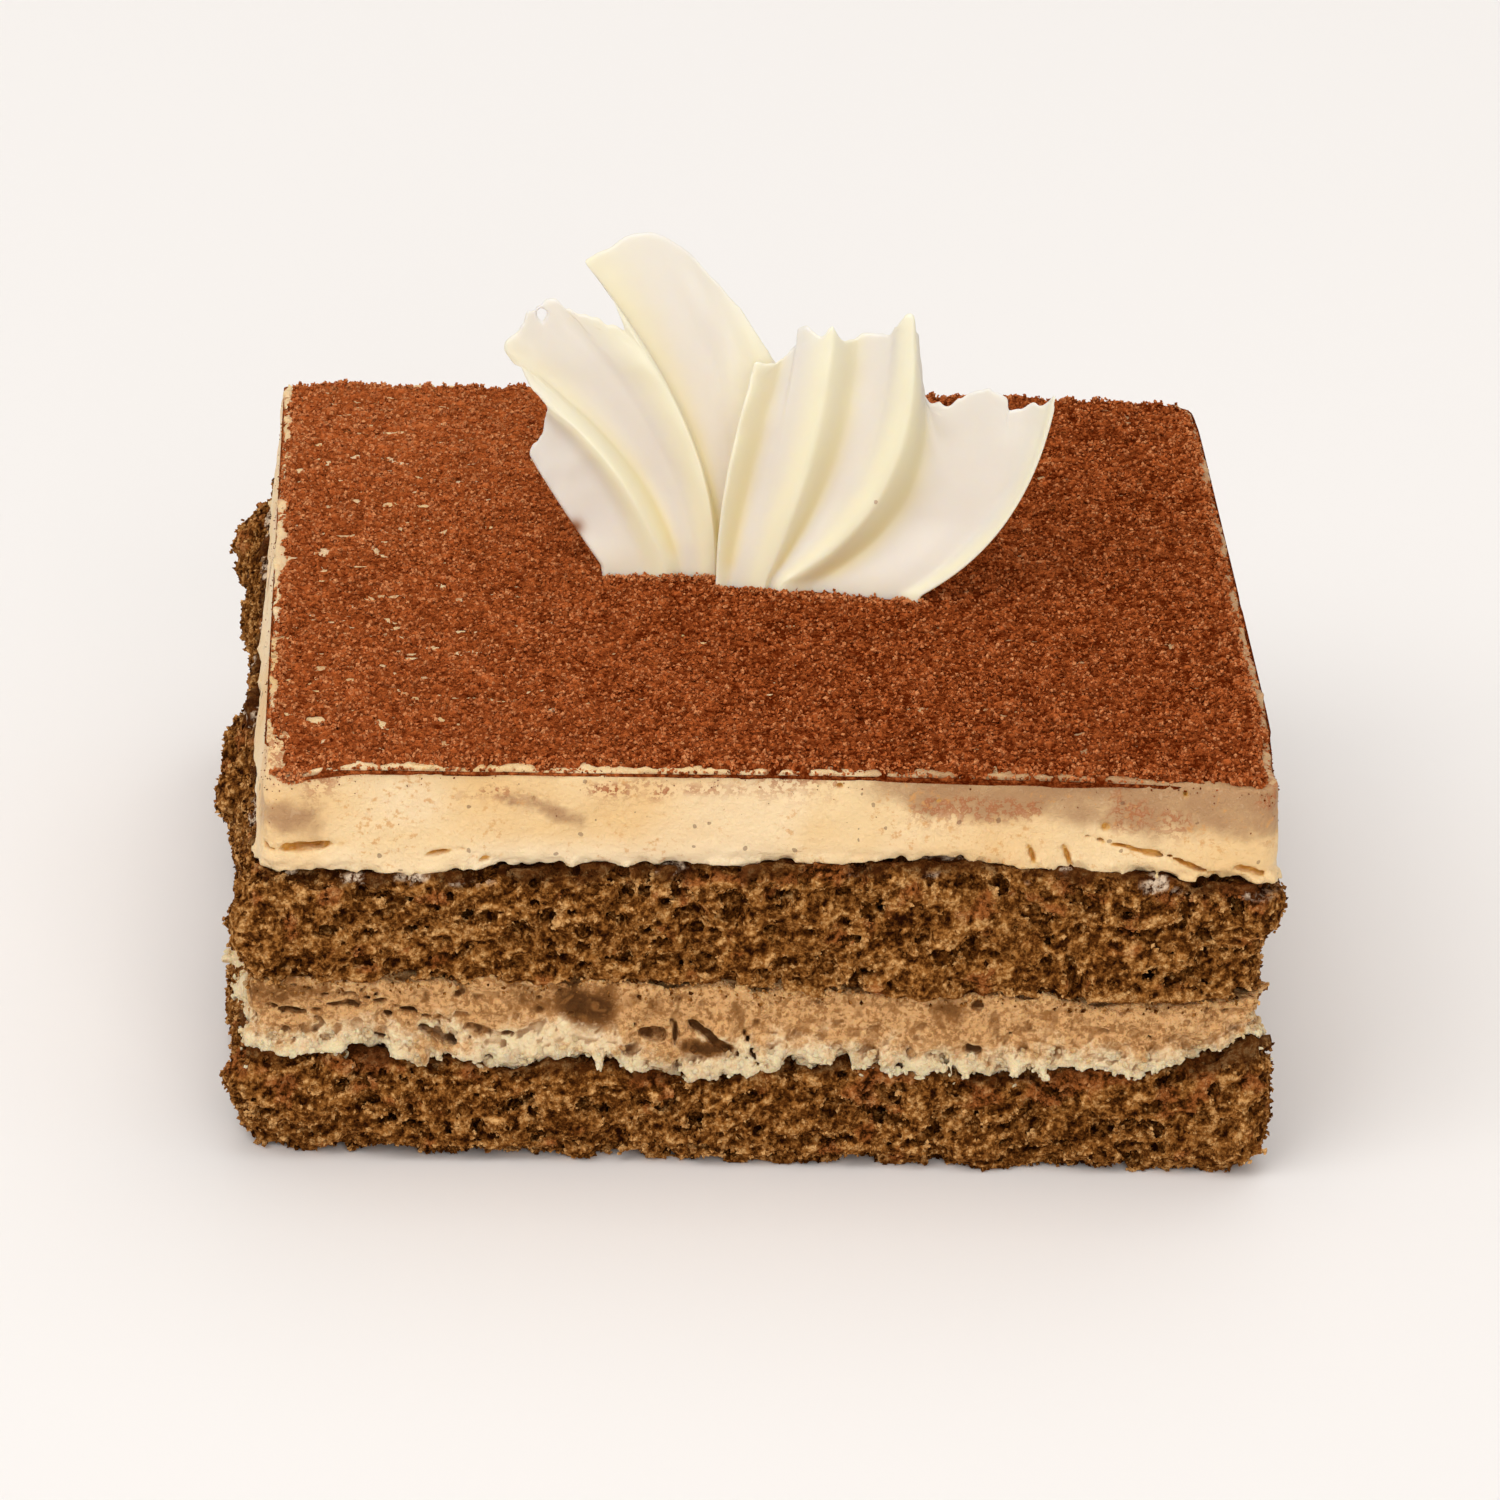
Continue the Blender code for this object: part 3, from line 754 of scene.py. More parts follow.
@dataclass
class VoxelLayer:
    """A layer carved in voxels, so that its cut walls have real pores, tears and overhangs.

    The layer is carved flat, as if its underside and top were level, and then bent to the heights of its solid.

    Attributes:
        node: The CAD node that it replaces.
        slot: The record's material slot, not used.
        finish: Its finish.
        seed: Which random shapes.
        voxel: Size of a voxel, in mm.
        skin: How deep behind the wall it is carved, in mm.
        overlap: How far its hidden inside reaches into the layers above and below.
        rest: Whether it rests on the floor, with nothing below to reach into.
        margin: How far beyond the wall the voxels reach, in mm.
        reach: How many voxels off it is seen how hemmed in a vertex is.
        cuts: Tears and hollows in its walls.
        bulges: Lumps that stand out of its walls.
    """

    node: str
    slot: str
    finish: Finish
    seed: int
    voxel: float = 0.3
    skin: float = 3.0
    overlap: float = 0.25
    rest: bool = False
    margin: float = 4.6
    reach: int = 2
    cuts: tuple[Mark, ...] = ()
    bulges: tuple[Mark, ...] = ()

    def __post_init__(self) -> None:
        """Reads the solid and lays out the voxels."""
        self.probe = LayerProbe(self.node)
        self.height = self.probe.thickness
        edge = HALF + self.margin
        self.x = np.arange(-edge, edge, self.voxel, dtype=np.float32)
        self.q = np.arange(-1.5, self.height + 1.5, self.voxel, dtype=np.float32)
        station, reach = perimeter(*np.meshgrid(self.x, self.x, indexing="ij"))
        self.depth = np.full((*station.shape, len(self.q)), 9.0, np.float32)
        rim = reach > HALF - self.skin - 3
        share = np.clip(self.q / self.height, 0, 1)
        station = np.broadcast_to(station[rim][:, None], (rim.sum(), len(self.q)))
        wall = self.probe.wall_at(station, np.broadcast_to(share, station.shape))
        self.depth[rim] = wall - reach[rim][:, None]
        self.near = self.depth < self.skin
        i, j, k = np.nonzero(self.near)
        self.spots = np.column_stack([self.x[i], self.x[j], self.q[k]])
        self.deep = self.depth[self.near]
        self.ends = np.minimum(self.spots[:, 2], self.height - self.spots[:, 2])

    def rough(self, *octaves: tuple[float, float] | tuple[float, float, tuple[float, float, float]]) -> Array:
        """Noise at the carved voxels, from pairs of a cell size and an amount, with a stretch if one is given."""
        total = np.zeros(len(self.spots), np.float32)
        for number, (cell, amount, *stretch) in enumerate(octaves):
            total += Noise(cell, self.seed * 10 + number, *stretch).at(self.spots) * amount
        return total

    def pores(self, count: int, size: float, spread: float, flatness: float) -> Array:
        """The distance to the nearest of many round pores behind the wall, at the carved voxels.

        Args:
            count: How many pores.
            size: Their middle radius, in mm.
            spread: How much their radii vary, as the deviation of their logarithm.
            flatness: How much wider than high they are.
        """
        rng = np.random.default_rng(self.seed * 101 + count)
        station = rng.uniform(0, 4, count)
        inward = rng.uniform(-0.4, self.skin * 0.8, count)
        radius = np.exp(rng.normal(math.log(size), spread, count)).clip(size * 0.4, size * 3.0)
        level = rng.uniform(0, self.height, count)
        found = np.full(self.depth.shape, 9.0, np.float32)
        for place, deep, r, z in zip(station, inward, radius, level):
            x, y = square_point(place, HALF - deep)
            box = []
            for centre, line, grow in ((x, self.x, r + 0.6), (y, self.x, r + 0.6), (z, self.q, r / flatness + 0.6)):
                low = max(int((centre - grow - line[0]) / self.voxel), 0)
                high = min(int((centre + grow - line[0]) / self.voxel) + 2, len(line))
                box.append(slice(low, high))
            across = ((self.x[box[0]] - x) ** 2)[:, None, None] + ((self.x[box[1]] - y) ** 2)[None, :, None]
            up = (((self.q[box[2]] - z) * flatness) ** 2)[None, None, :]
            part = found[tuple(box)]
            np.minimum(part, np.sqrt(across + up) - r, out=part)
        return found[self.near]

    def marked(self, body: Array, ragged: Array) -> Array:
        """The body with its bulges and less its cuts, whose edges are ragged by the given amounts."""
        for bulge in self.bulges:
            out = np.hypot(bulge.spread(self.spots, self.height), np.maximum(-self.deep, 0) / bulge.deep)
            body = np.maximum(body, (1 - out) * bulge.deep + ragged * 2)
        for cut in self.cuts:
            out = np.hypot(cut.spread(self.spots, self.height), np.maximum(self.deep, 0) / cut.deep)
            body = np.minimum(body, (out - 1) * cut.thick + ragged)
        return body

    def carved(self) -> Array:
        """The body at the carved voxels, positive inside."""
        raise NotImplementedError

    def field(self) -> Array:
        """The whole layer, positive inside, without sealed hollows or crumbs that touch nothing."""
        flat = np.minimum(self.q, self.height - self.q)[None, None, :]
        body = np.minimum(self.depth, flat).astype(np.float32)
        body[self.near] = self.carved()
        solid = body > 0
        beyond = self.depth < -2.4
        beyond[[0, -1]] = beyond[:, [0, -1]] = True
        outside = connected(~solid, beyond, round(6.5 / self.voxel))
        body[~solid & ~outside & self.near] = 0.15
        solid = body > 0
        held = connected(solid, solid & (self.depth >= self.skin), 24)
        body[solid & ~held] = -0.15
        return body

    def values(self, places: Array, pit: Array) -> dict[str, Array]:
        """What the finish reads at each vertex.

        Args:
            places: The vertices in the flat layer, in mm.
            pit: How hemmed in each is, 0 to 1, a stand-in for occlusion that the finishes paint as shade.
        """
        return {"pit": pit}

    def bent(self, places: Array) -> Array:
        """The flat layer's places bent to the heights of its solid, in mm."""
        low, high = self.probe.heights(places[:, 0], places[:, 1])
        grow = self.overlap * smoothstep(0.5, 3.0, HALF - perimeter(places[:, 0], places[:, 1])[1])
        high = high + grow
        if not self.rest:
            low = low - grow
        z = low + places[:, 2] / self.height * (high - low)
        return np.column_stack([places[:, :2], np.maximum(z, 0.0) if self.rest else z])

    def build(self) -> bpy.types.Object:
        """Carves, meshes and dresses the layer, and keeps its vertices for crumbs to cling to."""
        body = self.field()
        grid = openvdb.FloatGrid(1.0)
        grid.copyFromArray(-np.clip(body, -0.6, 0.6))
        verts, tris, quads = grid.convertToPolygons(isovalue=0.0, adaptivity=0.01)
        # how hemmed in each vertex is: a stand-in for ambient occlusion, which the finishes paint as shade in pits and
        # cracks
        closeness = blurred((body > 0).astype(np.float32), self.reach)
        index = np.clip(np.rint(verts).astype(int), 0, np.array(body.shape) - 1)
        self.pit = closeness[index[:, 0], index[:, 1], index[:, 2]]
        self.places = verts * self.voxel + np.array([self.x[0], self.x[0], self.q[0]])
        self.outer = perimeter(self.places[:, 0], self.places[:, 1])[1] > HALF - 1.9
        faces = list(itertools.chain(tris[:, ::-1].tolist(), quads[:, ::-1].tolist()))
        mesh = mesh_of(self.node + "_cut", self.bent(self.places), faces, self.values(self.places, self.pit))
        return finished(mesh, self.finish.material(), self.node)


@dataclass
class Sponge(VoxelLayer):
    """A layer of sponge with its open crumb.

    Attributes:
        soaked: How far down from its top it is darkened, by coffee and by painted shade under the cream above, in mm.
        smeared: How much cream is smeared over its upper edge.
    """

    voxel: float = 0.46
    reach: int = 1
    soaked: float = 0.6
    smeared: float = 0.0

    def carved(self) -> Array:
        """Crumb: the wall pitted at several sizes, with pores behind it."""
        coarse = self.rough((5.0, 0.30), (2.2, 0.22))
        pits = np.maximum(self.rough((1.10, 1.0, (1.35, 1.35, 0.8)), (0.9, 0.6)) - 0.12, 0)
        deep = np.maximum(self.rough((2.2, 1.0, (1.2, 1.2, 0.8)), (1.1, 0.5)) - 0.72, 0)
        grain = self.rough((0.95, 0.20),)
        wall = self.deep + coarse + grain - pits * 1.25 - deep * 2.4
        body = np.minimum(wall, self.ends + coarse * 0.9 + grain - pits * 0.7)
        holes = self.pores(1300, 0.48, 0.35, 1.2) + grain * 1.6
        return self.marked(np.minimum(body, holes + 0.08), grain)

    def values(self, places: Array, pit: Array) -> dict[str, Array]:
        """The pits, how dark its top is (soaked with coffee, and in painted shade under the cream), how red the crumb
        is, and the cream smeared on it.
        """
        below = self.height - places[:, 2]
        wander = Noise(2.6, self.seed + 70).at(places) + Noise(0.9, self.seed + 74).at(places) * 0.5
        # darkens the top: coffee, and painted shade under the cream above
        soak = 1 - smoothstep(self.soaked - 0.5, self.soaked + 0.7, below + wander * 0.7)
        patch = Noise(2.2, self.seed + 71, (1.4, 1.4, 0.8)).at(places) + Noise(0.8, self.seed + 75).at(places) * 0.5
        red = smoothstep(0.85, 1.25, patch + 0.45 * smoothstep(5.0, 0.5, below)) * 0.6
        streak = Noise(1.5, self.seed + 72, (1.8, 1.8, 0.6)).at(places) + Noise(0.6, self.seed + 73).at(places) * 0.4
        smear = smoothstep(0.60, 0.8, streak) * (1 - smoothstep(0.6, 1.3, below)) * self.smeared
        tone = np.full(len(places), 0.5)
        return {"pit": pit.copy(), "soak": soak, "red": red, "smear": smear, "tone": tone}


@dataclass
class CoffeeCream(VoxelLayer):
    """The lower cream: grainy, torn in places, fluffy along its lower edge.

    Attributes:
        patches: Where coffee has pooled.
        pale_patches: Where it has stayed pale.
    """

    voxel: float = 0.31
    patches: tuple[Mark, ...] = ()
    pale_patches: tuple[Mark, ...] = ()

    def carved(self) -> Array:
        """Cream: a grainy wall with knobs along its foot."""
        level = self.spots[:, 2]
        coarse = self.rough((4.0, 0.22), (1.6, 0.26))
        grain = self.rough((0.90, 0.20), (0.62, 0.17))
        along = along_wall(Side.FRONT, self.spots[:, 0], self.spots[:, 1])
        left_end = smoothstep(-12.0, -20.0, along)
        lines = np.abs(self.rough((1.5, 1.0, (4.0, 4.0, 0.55)), (0.8, 0.35, (2.0, 2.0, 0.8))))
        cracks = smoothstep(0.13, 0.0, lines) * left_end * 0.8
        foot = 1 - smoothstep(0.4, 2.4, level)
        knobs = self.rough((1.15, 0.60), (0.65, 0.40))
        wall = self.deep + coarse + grain + foot * (0.40 + knobs) - cracks * 0.75 * (1 - foot)
        below = level + coarse * 1.0 + knobs * 1.1 + 0.15
        body = np.minimum(wall, np.minimum(below, self.height - level + 0.35 + coarse * 1.6 + grain))
        body = np.minimum(body, self.pores(1100, 0.21, 0.45, 1.3) + grain * 0.5 + 0.03)
        return self.marked(body, self.rough((1.1, 0.18), (0.6, 0.12)))

    def values(self, places: Array, pit: Array) -> dict[str, Array]:
        """The pits, how much coffee it has drunk, and its dark patches."""
        share = places[:, 2] / self.height
        wander = Noise(4.0, 31).at(places) * 0.16 + Noise(1.2, 33).at(places) * 0.14 + Noise(0.5, 34).at(places) * 0.1
        soak = smoothstep(0.0, 0.56, share + wander * 0.8)
        for patch in self.pale_patches:
            soak *= smoothstep(0.45, 1.25, patch.spread(places, self.height) + wander * 2)
        stain = smoothstep(0.50, 0.9, Noise(5.0, 35).at(places) + wander) * smoothstep(0.5, 0.9, share) * 0.5
        for patch in self.patches:
            edge = patch.spread(places, self.height) + Noise(2.2, 36).at(places) * 0.55
            stain = np.maximum(stain, 1.0 - smoothstep(0.0, 1.6, edge))
        return {"pit": pit.copy(), "soak": soak, "stain": stain}


@dataclass
class TopCream(VoxelLayer):
    """The upper cream: smooth, with stains, tears, bubbles and a flaky lower edge.

    Attributes:
        stains: Grey-beige patches.
        smears: Brown smears of cocoa.
        band_start: Where along the front wall the grey band under the cocoa sets in.
    """

    voxel: float = 0.27
    skin: float = 2.0
    stains: tuple[Mark, ...] = ()
    smears: tuple[Mark, ...] = ()
    band_start: float = 4.0

    def carved(self) -> Array:
        """Cream: an almost smooth wall with a ragged foot and small waves along its upper edge."""
        level = self.spots[:, 2]
        coarse = self.rough((7.0, 0.16), (2.4, 0.08))
        grain = self.rough((0.9, 0.045), (0.5, 0.025))
        foot = 1 - smoothstep(0.1, 1.1, level)
        head = smoothstep(self.height - 0.9, self.height - 0.1, level)
        right_end = smoothstep(6.0, 20.0, along_wall(Side.FRONT, self.spots[:, 0], self.spots[:, 1]))
        flakes = self.rough((3.2, 0.28), (1.0, 0.26, (1.2, 1.2, 0.8)), (0.55, 0.20)) * (1 + right_end * 0.6)
        waves = self.rough((1.5, 0.26, (1.5, 1.5, 1.0)), (0.6, 0.22))
        wall = self.deep + coarse + grain + foot * (flakes - 0.25) + head * (waves * 0.5 - 0.15)
        rolled = smoothstep(2.0, 0.0, self.deep)
        top = self.height - level + rolled * (np.maximum(waves, -0.1) * 0.8 - 0.15) + grain
        body = np.minimum(wall, np.minimum(level + 0.15 + flakes * 0.7, top))
        bubbles = self.pores(380, 0.16, 0.45, 1.0)
        return self.marked(np.minimum(body, bubbles + 0.04), self.rough((1.1, 0.12), (0.55, 0.08)))

    def values(self, places: Array, pit: Array) -> dict[str, Array]:
        """The grey stains, the brown smears, the whitish bloom and the golden painted shade inside the tears."""
        share = places[:, 2] / self.height
        wander = Noise(2.4, 41).at(places) * 0.34 + Noise(1.0, 43).at(places) * 0.30
        along = along_wall(Side.FRONT, places[:, 0], places[:, 1])
        station = perimeter(places[:, 0], places[:, 1])[0]
        onset = smoothstep(self.band_start, self.band_start + 10.0, along) * smoothstep(3.9, 3.4, station)
        edge = 0.84 - 0.32 * onset + 0.05 * np.sin(station * 5.0)
        cloudy = 0.92 + Noise(3.0, 49).at(places) * 0.16 + Noise(1.1, 50).at(places) * 0.16
        stain = smoothstep(edge - 0.17, edge + 0.17, share + wander * 0.16) * (0.2 + 0.8 * onset) * cloudy
        for mark in self.stains:
            stain = np.maximum(stain, 0.85 * (1 - smoothstep(0.1, 1.6, mark.spread(places, self.height) + wander)))
        smudge = Noise(3.0, 45, (1.4, 1.4, 0.9)).at(places) + Noise(1.0, 46).at(places) * 0.5
        smear = smoothstep(0.35, 0.8, smudge) * smoothstep(0.55, 0.95, share + 0.3 * onset) * 0.7
        for mark in self.smears:
            smear = np.maximum(smear, 1.0 * (1 - smoothstep(0.2, 1.2, mark.spread(places, self.height) + wander)))
        tear = np.zeros(len(places))
        for cut in self.cuts:
            tear = np.maximum(tear, 1 - smoothstep(0.85, 1.25, cut.spread(places, self.height)))
        bloom = smoothstep(-0.3, 0.7, Noise(6.0, 47).at(places)) * 0.6 + smoothstep(0.35, 0.0, share) * 0.5
        # only deep in the tears, where it is hemmed in, because the golden shade is painted there
        shut = smoothstep(0.50, 0.66, pit)
        bloom *= (1 - np.clip(stain, 0, 1)) * (1 - 0.8 * onset)
        return {"pit": pit.copy(), "stain": stain, "smear": smear, "tear": tear * shut, "bloom": bloom}


@dataclass
class Crumbs:
    """Small lumps of one kind, gathered from several places and joined into one piece.

    Attributes:
        name: The piece's name.
        finish: Its finish.
        slot: The record's material slot, not used.
        kind: The lumps' shape.
    """

    name: str
    finish: Finish
    slot: str
    kind: Grains
    gathered: list[dict[str, Array]] = field(default_factory=list)

    def add(self, centres: Array, radii: Array, values: dict[str, Array]) -> None:
        """Adds lumps at these centres, with what the finish reads for each."""
        self.gathered.append({"centre": centres, "radius": radii} | values)

    def cling(
        self,
        layer: VoxelLayer,
        count: int,
        band: tuple[float, float],
        radii: tuple[float, float],
        hemmed: float = 0.64,
        tones: tuple[float, float] = (0.0, 1.0),
    ) -> None:
        """Adds lumps that sit on a layer's wall.

        Args:
            layer: The layer, once built.
            count: How many lumps.
            band: The lowest and the highest of them, as shares of the layer's height.
            radii: The least and the greatest radius, in mm.
            hemmed: How deep in a pit a lump may sit, as the layer's pit value.
            tones: The darkest and the lightest tone.
        """
        rng = np.random.default_rng(self.kind.seed + count)
        share = layer.places[:, 2] / layer.height
        ready = np.flatnonzero(layer.outer & (layer.pit < hemmed) & (share > band[0]) & (share < band[1]))
        chosen = rng.choice(ready, min(count, len(ready)), replace=False)
        places = layer.places[chosen] + rng.uniform(-0.5, 0.5, (len(chosen), 3)) * layer.voxel * 0.6
        own = layer.values(places, layer.pit[chosen]) if layer.finish is self.finish else {"pit": layer.pit[chosen]}
        centres = layer.bent(places)
        radius = rng.uniform(*radii, len(chosen))
        centres[:, 2] = np.maximum(centres[:, 2], radius * 0.5)
        self.add(centres, radius, own | {"tone": rng.uniform(*tones, len(chosen))})

    def build(self) -> bpy.types.Object:
        """Joins the lumps gathered so far into one piece."""
        keys = sorted({key for some in self.gathered for key in some} - {"centre", "radius"})
        blank = [np.zeros(len(some["radius"])) for some in self.gathered]
        values = {
            key: np.concatenate([some.get(key, zeros) for some, zeros in zip(self.gathered, blank)]) for key in keys
        }
        centres = np.vstack([some["centre"] for some in self.gathered])
        radii = np.concatenate([some["radius"] for some in self.gathered])
        verts, faces = self.kind.joined(centres, radii)
        spread = {key: np.repeat(value, self.kind.corners()) for key, value in values.items()}
        mesh = mesh_of(self.name, verts, faces.tolist(), spread)
        mesh.shade_flat()
        return finished(mesh, self.finish.material())


# --------------------------------------------------------------------------------------------- the cocoa


@dataclass
class CocoaDusting:
    """The skin of cocoa: a sheet of grainy relief, thin or bare in flecks, with loose grains on it.

    Attributes:
        node: The CAD node that it replaces.
        slot: The record's material slot, not used.
        cells: How many cells the sheet has along each side.
        extend: How far its edge reaches beyond the solid's, in mm.
    """

    node: str = "cocoa_dusting"
    slot: str = "cocoa"
    cells: int = 285
    extend: float = 0.55

    def __post_init__(self) -> None:
        """Reads its solid and the cream's below it."""
        self.probe = LayerProbe(self.node, edge_depth=2.6)
        self.cream = LayerProbe("cream_upper")

    def bareness(self, x: Array, y: Array) -> Array:
        """How bare each place is of cocoa, above 0 where the cream shows through."""
        places = np.column_stack([x, y, np.zeros(len(x))])
        wavy = places + Noise(6.0, 94).at(places)[:, None] * np.array([0.0, 1.2, 0.0])
        fleck = Noise(0.60, 91, (2.2, 1.0, 1.0)).at(wavy) + Noise(0.40, 92, (1.6, 1.0, 1.0)).at(wavy) * 0.55
        fleck += Noise(0.42, 89).at(places) * 0.40
        cloud = Noise(4.0, 93).at(places) * 0.07
        left = smoothstep(-13.0, -37.0, x) * (0.65 + 0.35 * smoothstep(-38.0, -15.0, y))
        corner = smoothstep(30.0, 8.0, np.hypot(x + HALF, y - HALF)) * 0.12
        right = smoothstep(14.0, 2.0, np.hypot((x - 38.0) * 0.9, (y - 12.0) * 0.35)) * 0.10
        need = 1.40 - 0.73 * left - corner - right - cloud
        return fleck - need

    def clumps(self, x: Array, y: Array) -> Array:
        """The powder's worm-like relief, about 0 to 1."""
        places = np.column_stack([x, y, np.zeros(len(x))])
        ridges = 1 - np.abs(Noise(0.70, 95, (1.3, 0.9, 1.0)).at(places)) * 1.9
        finer = 1 - np.abs(Noise(0.50, 96).at(places)) * 1.9
        return np.clip(ridges * 0.55 + finer * 0.45, 0, 1)

    def painted_glow(self, x: Array, y: Array) -> Array:
        """Painted light: how much lighter the powder is painted towards the left and the back."""
        return 0.12 * smoothstep(5.0, -35.0, x) + 0.12 * smoothstep(-10.0, 40.0, y) * smoothstep(45.0, -20.0, x)

    def surface(self, x: Array, y: Array) -> tuple[Array, Array, Array]:
        """The powder at points of the block's top: its height in mm, its relief and how well it covers the cream."""
        station, reach = perimeter(x, y)
        high = self.probe.heights(x, y)[1]
        places = np.column_stack([x, y, np.zeros(len(x))])
        clump = self.clumps(x, y)
        top = high - 0.46 + clump * 0.40 + Noise(3.0, 97).at(places) * 0.10
        floor = self.cream.heights(x, y)[1] - 0.15 - 0.7 * smoothstep(1.5, 0.3, self.rim(station) - reach)
        covered = 1 - smoothstep(-0.03, 0.12, self.bareness(x, y))
        ragged = Noise(1.3, 98).at(places) * 0.30 + Noise(0.5, 99).at(places) * 0.20
        covered *= smoothstep(0.0, 0.7, self.rim(station) - reach + ragged)
        return floor + (top - floor) * covered, clump, covered

    def rim(self, station: Array) -> Array:
        """How far from the centre the powder's edge lies."""
        return np.minimum(self.probe.wall_at(station, np.full(station.shape, 0.5)) + self.extend, HALF - 0.15)

    def build(self) -> bpy.types.Object:
        """Makes the sheet, closed underneath."""
        bm = bmesh.new()
        bmesh.ops.create_grid(bm, x_segments=self.cells, y_segments=self.cells, size=1.0)
        rim = [edge for edge in bm.edges if edge.is_boundary]
        skirt = bmesh.ops.extrude_edge_only(bm, edges=rim)["geom"]
        for vert in (item for item in skirt if isinstance(item, bmesh.types.BMVert)):
            vert.co.z = -1.0
        bmesh.ops.contextual_create(bm, geom=[item for item in skirt if isinstance(item, bmesh.types.BMEdge)])
        bmesh.ops.recalc_face_normals(bm, faces=bm.faces)
        mesh = bpy.data.meshes.new(self.node + "_powder")
        bm.to_mesh(mesh)
        bm.free()
        grid = np.empty(len(mesh.vertices) * 3, np.float32)
        mesh.vertices.foreach_get("co", grid)
        grid = grid.reshape(-1, 3)
        station, share = perimeter(grid[:, 0], grid[:, 1])
        edge = self.rim(station) + 0.35
        x, y = grid[:, 0] * edge, grid[:, 1] * edge
        z, clump, covered = self.surface(x, y)
        z = np.where(share > 0.999, self.cream.heights(x, y)[1] - 0.3, z)
        z = np.where(grid[:, 2] < -0.5, self.cream.heights(x, y)[1] - 0.6, z)
        mesh.vertices.foreach_set("co", (np.column_stack([x, y, z]) * MM).astype(np.float32).ravel())
        layer = mesh.attributes.new("lift", "FLOAT", "POINT")
        # lower in the relief's hollows, so painted darker there, plus painted light towards the left and back
        lift = clump * 0.46 - 0.06 + self.painted_glow(x, y)
        layer.data.foreach_set("value", lift.astype(np.float32))
        mesh.shade_smooth()
        return finished(mesh, COCOA.material(), self.node)

    def strew(self, crumbs: Crumbs, count: int, radii: tuple[float, float]) -> None:
        """Lays grains all over the powder, where it covers the cream."""
        rng = np.random.default_rng(count)
        x, y = rng.uniform(-HALF, HALF, (2, count * 2))
        station, reach = perimeter(x, y)
        z, clump, covered = self.surface(x, y)
        inside = reach < self.rim(station) - 0.2
        kept = np.flatnonzero(inside & (covered > 0.25) & (clump > rng.uniform(-0.5, 0.9, len(x))))[:count]
        radius = rng.uniform(*radii, len(kept))
        centres = np.column_stack([x[kept], y[kept], z[kept] + radius * rng.uniform(-0.1, 0.8, len(kept))])
        # random tone, darker on low clumps as painted shade, plus painted light towards the left and back
        lift = rng.uniform(0.15, 1.0, len(kept)) * (0.55 + 0.45 * clump[kept]) + self.painted_glow(x[kept], y[kept])
        crumbs.add(centres, radius, {"lift": lift})

    def line_rim(self, crumbs: Crumbs, count: int, radii: tuple[float, float]) -> None:
        """Lays grains over the powder's sloping edge."""
        rng = np.random.default_rng(count)
        station = rng.uniform(0, 4, count)
        out = np.minimum(self.rim(station) + rng.uniform(-1.1, 0.10, count), HALF + 0.1)
        x, y = np.array([square_point(s, r) for s, r in zip(station, out)]).T
        radius = rng.uniform(*radii, count)
        z = np.maximum(self.surface(x, y)[0], self.cream.heights(x, y)[1] - 0.3) + radius * rng.uniform(-0.5, 0.5, count)
        crumbs.add(np.column_stack([x, y, z]), radius, {"lift": rng.uniform(0.1, 0.85, count)})

    def heap(self, crumbs: Crumbs, centre: Sequence[float], spread: Sequence[float], count: int) -> None:
        """Heaps grains round a place, in mm."""
        rng = np.random.default_rng(count + int(abs(centre[0]) * 10))
        ball = rng.normal(size=(count, 3))
        ball /= np.maximum(np.linalg.norm(ball, axis=1), 1e-6)[:, None]
        places = np.array(centre) + ball * np.array(spread) * rng.uniform(0.2, 1, (count, 1)) ** 0.5
        crumbs.add(places, rng.uniform(0.13, 0.26, count), {"lift": rng.uniform(0.25, 1.0, count)})


# ---------------------------------------------------------------------------------------------- the fans


@dataclass(frozen=True)
class Rib:
    """A line that runs up a fan between two petals, or along its edge, in mm in the fan's own plane.

    Attributes:
        root: Where it starts: along the fan's foot, then up.
        bend: The control point of its curve.
        flank: How much of the petal to its right its right side takes up.
        approach: How much of the petal to its left its left side takes up.
        rise: How far it stands forward of the petals' edges.
    """

    root: tuple[float, float]
    bend: tuple[float, float]
    flank: float = 0.32
    approach: float = 0.42
    rise: float = 0.35


@dataclass(frozen=True)
class Petal:
    """One scoop of a fan between two ribs.

    Attributes:
        depth: How far it lies back from its ribs, in mm.
        crest: Its torn edge, from rib to rib, in mm in the fan's own plane.
        torn: How jagged its edge is, 1 for the most.
    """

    depth: float
    crest: tuple[tuple[float, float], ...]
    torn: float = 1.0

    def tips(self, columns: int) -> list[Vector]:
        """Points evenly along the crest, one for each column."""
        points = [Vector(point) for point in self.crest]
        gaps = [(b - a).length for a, b in zip(points, points[1:])]
        total = sum(gaps)
        found = []
        for i in range(columns + 1):
            left = total * i / columns
            step = 0
            while step < len(gaps) - 1 and left > gaps[step]:
                left -= gaps[step]
                step += 1
            found.append(points[step].lerp(points[step + 1], min(left / gaps[step], 1.0)))
        return found


@dataclass(frozen=True)
class Column:
    """A line of a fan from foot to crest.

    Attributes:
        root: Its lower end, bend its control point and tip its upper end.
        hollow: How far it lies back from the ribs, in mm.
        rib: How near it is to a rib, 0 to 1.
        valley: How near it is to the bottom of a rib's right side, 0 to 1, where yellow shade is painted.
        torn: How jagged its tip is.
    """

    root: Vector
    bend: Vector
    tip: Vector
    hollow: float
    rib: float
    valley: float
    torn: float


def eased(low: float, high: float, value: float) -> float:
    """The smooth step of one number."""
    return float(smoothstep(low, high, np.float64(value)))


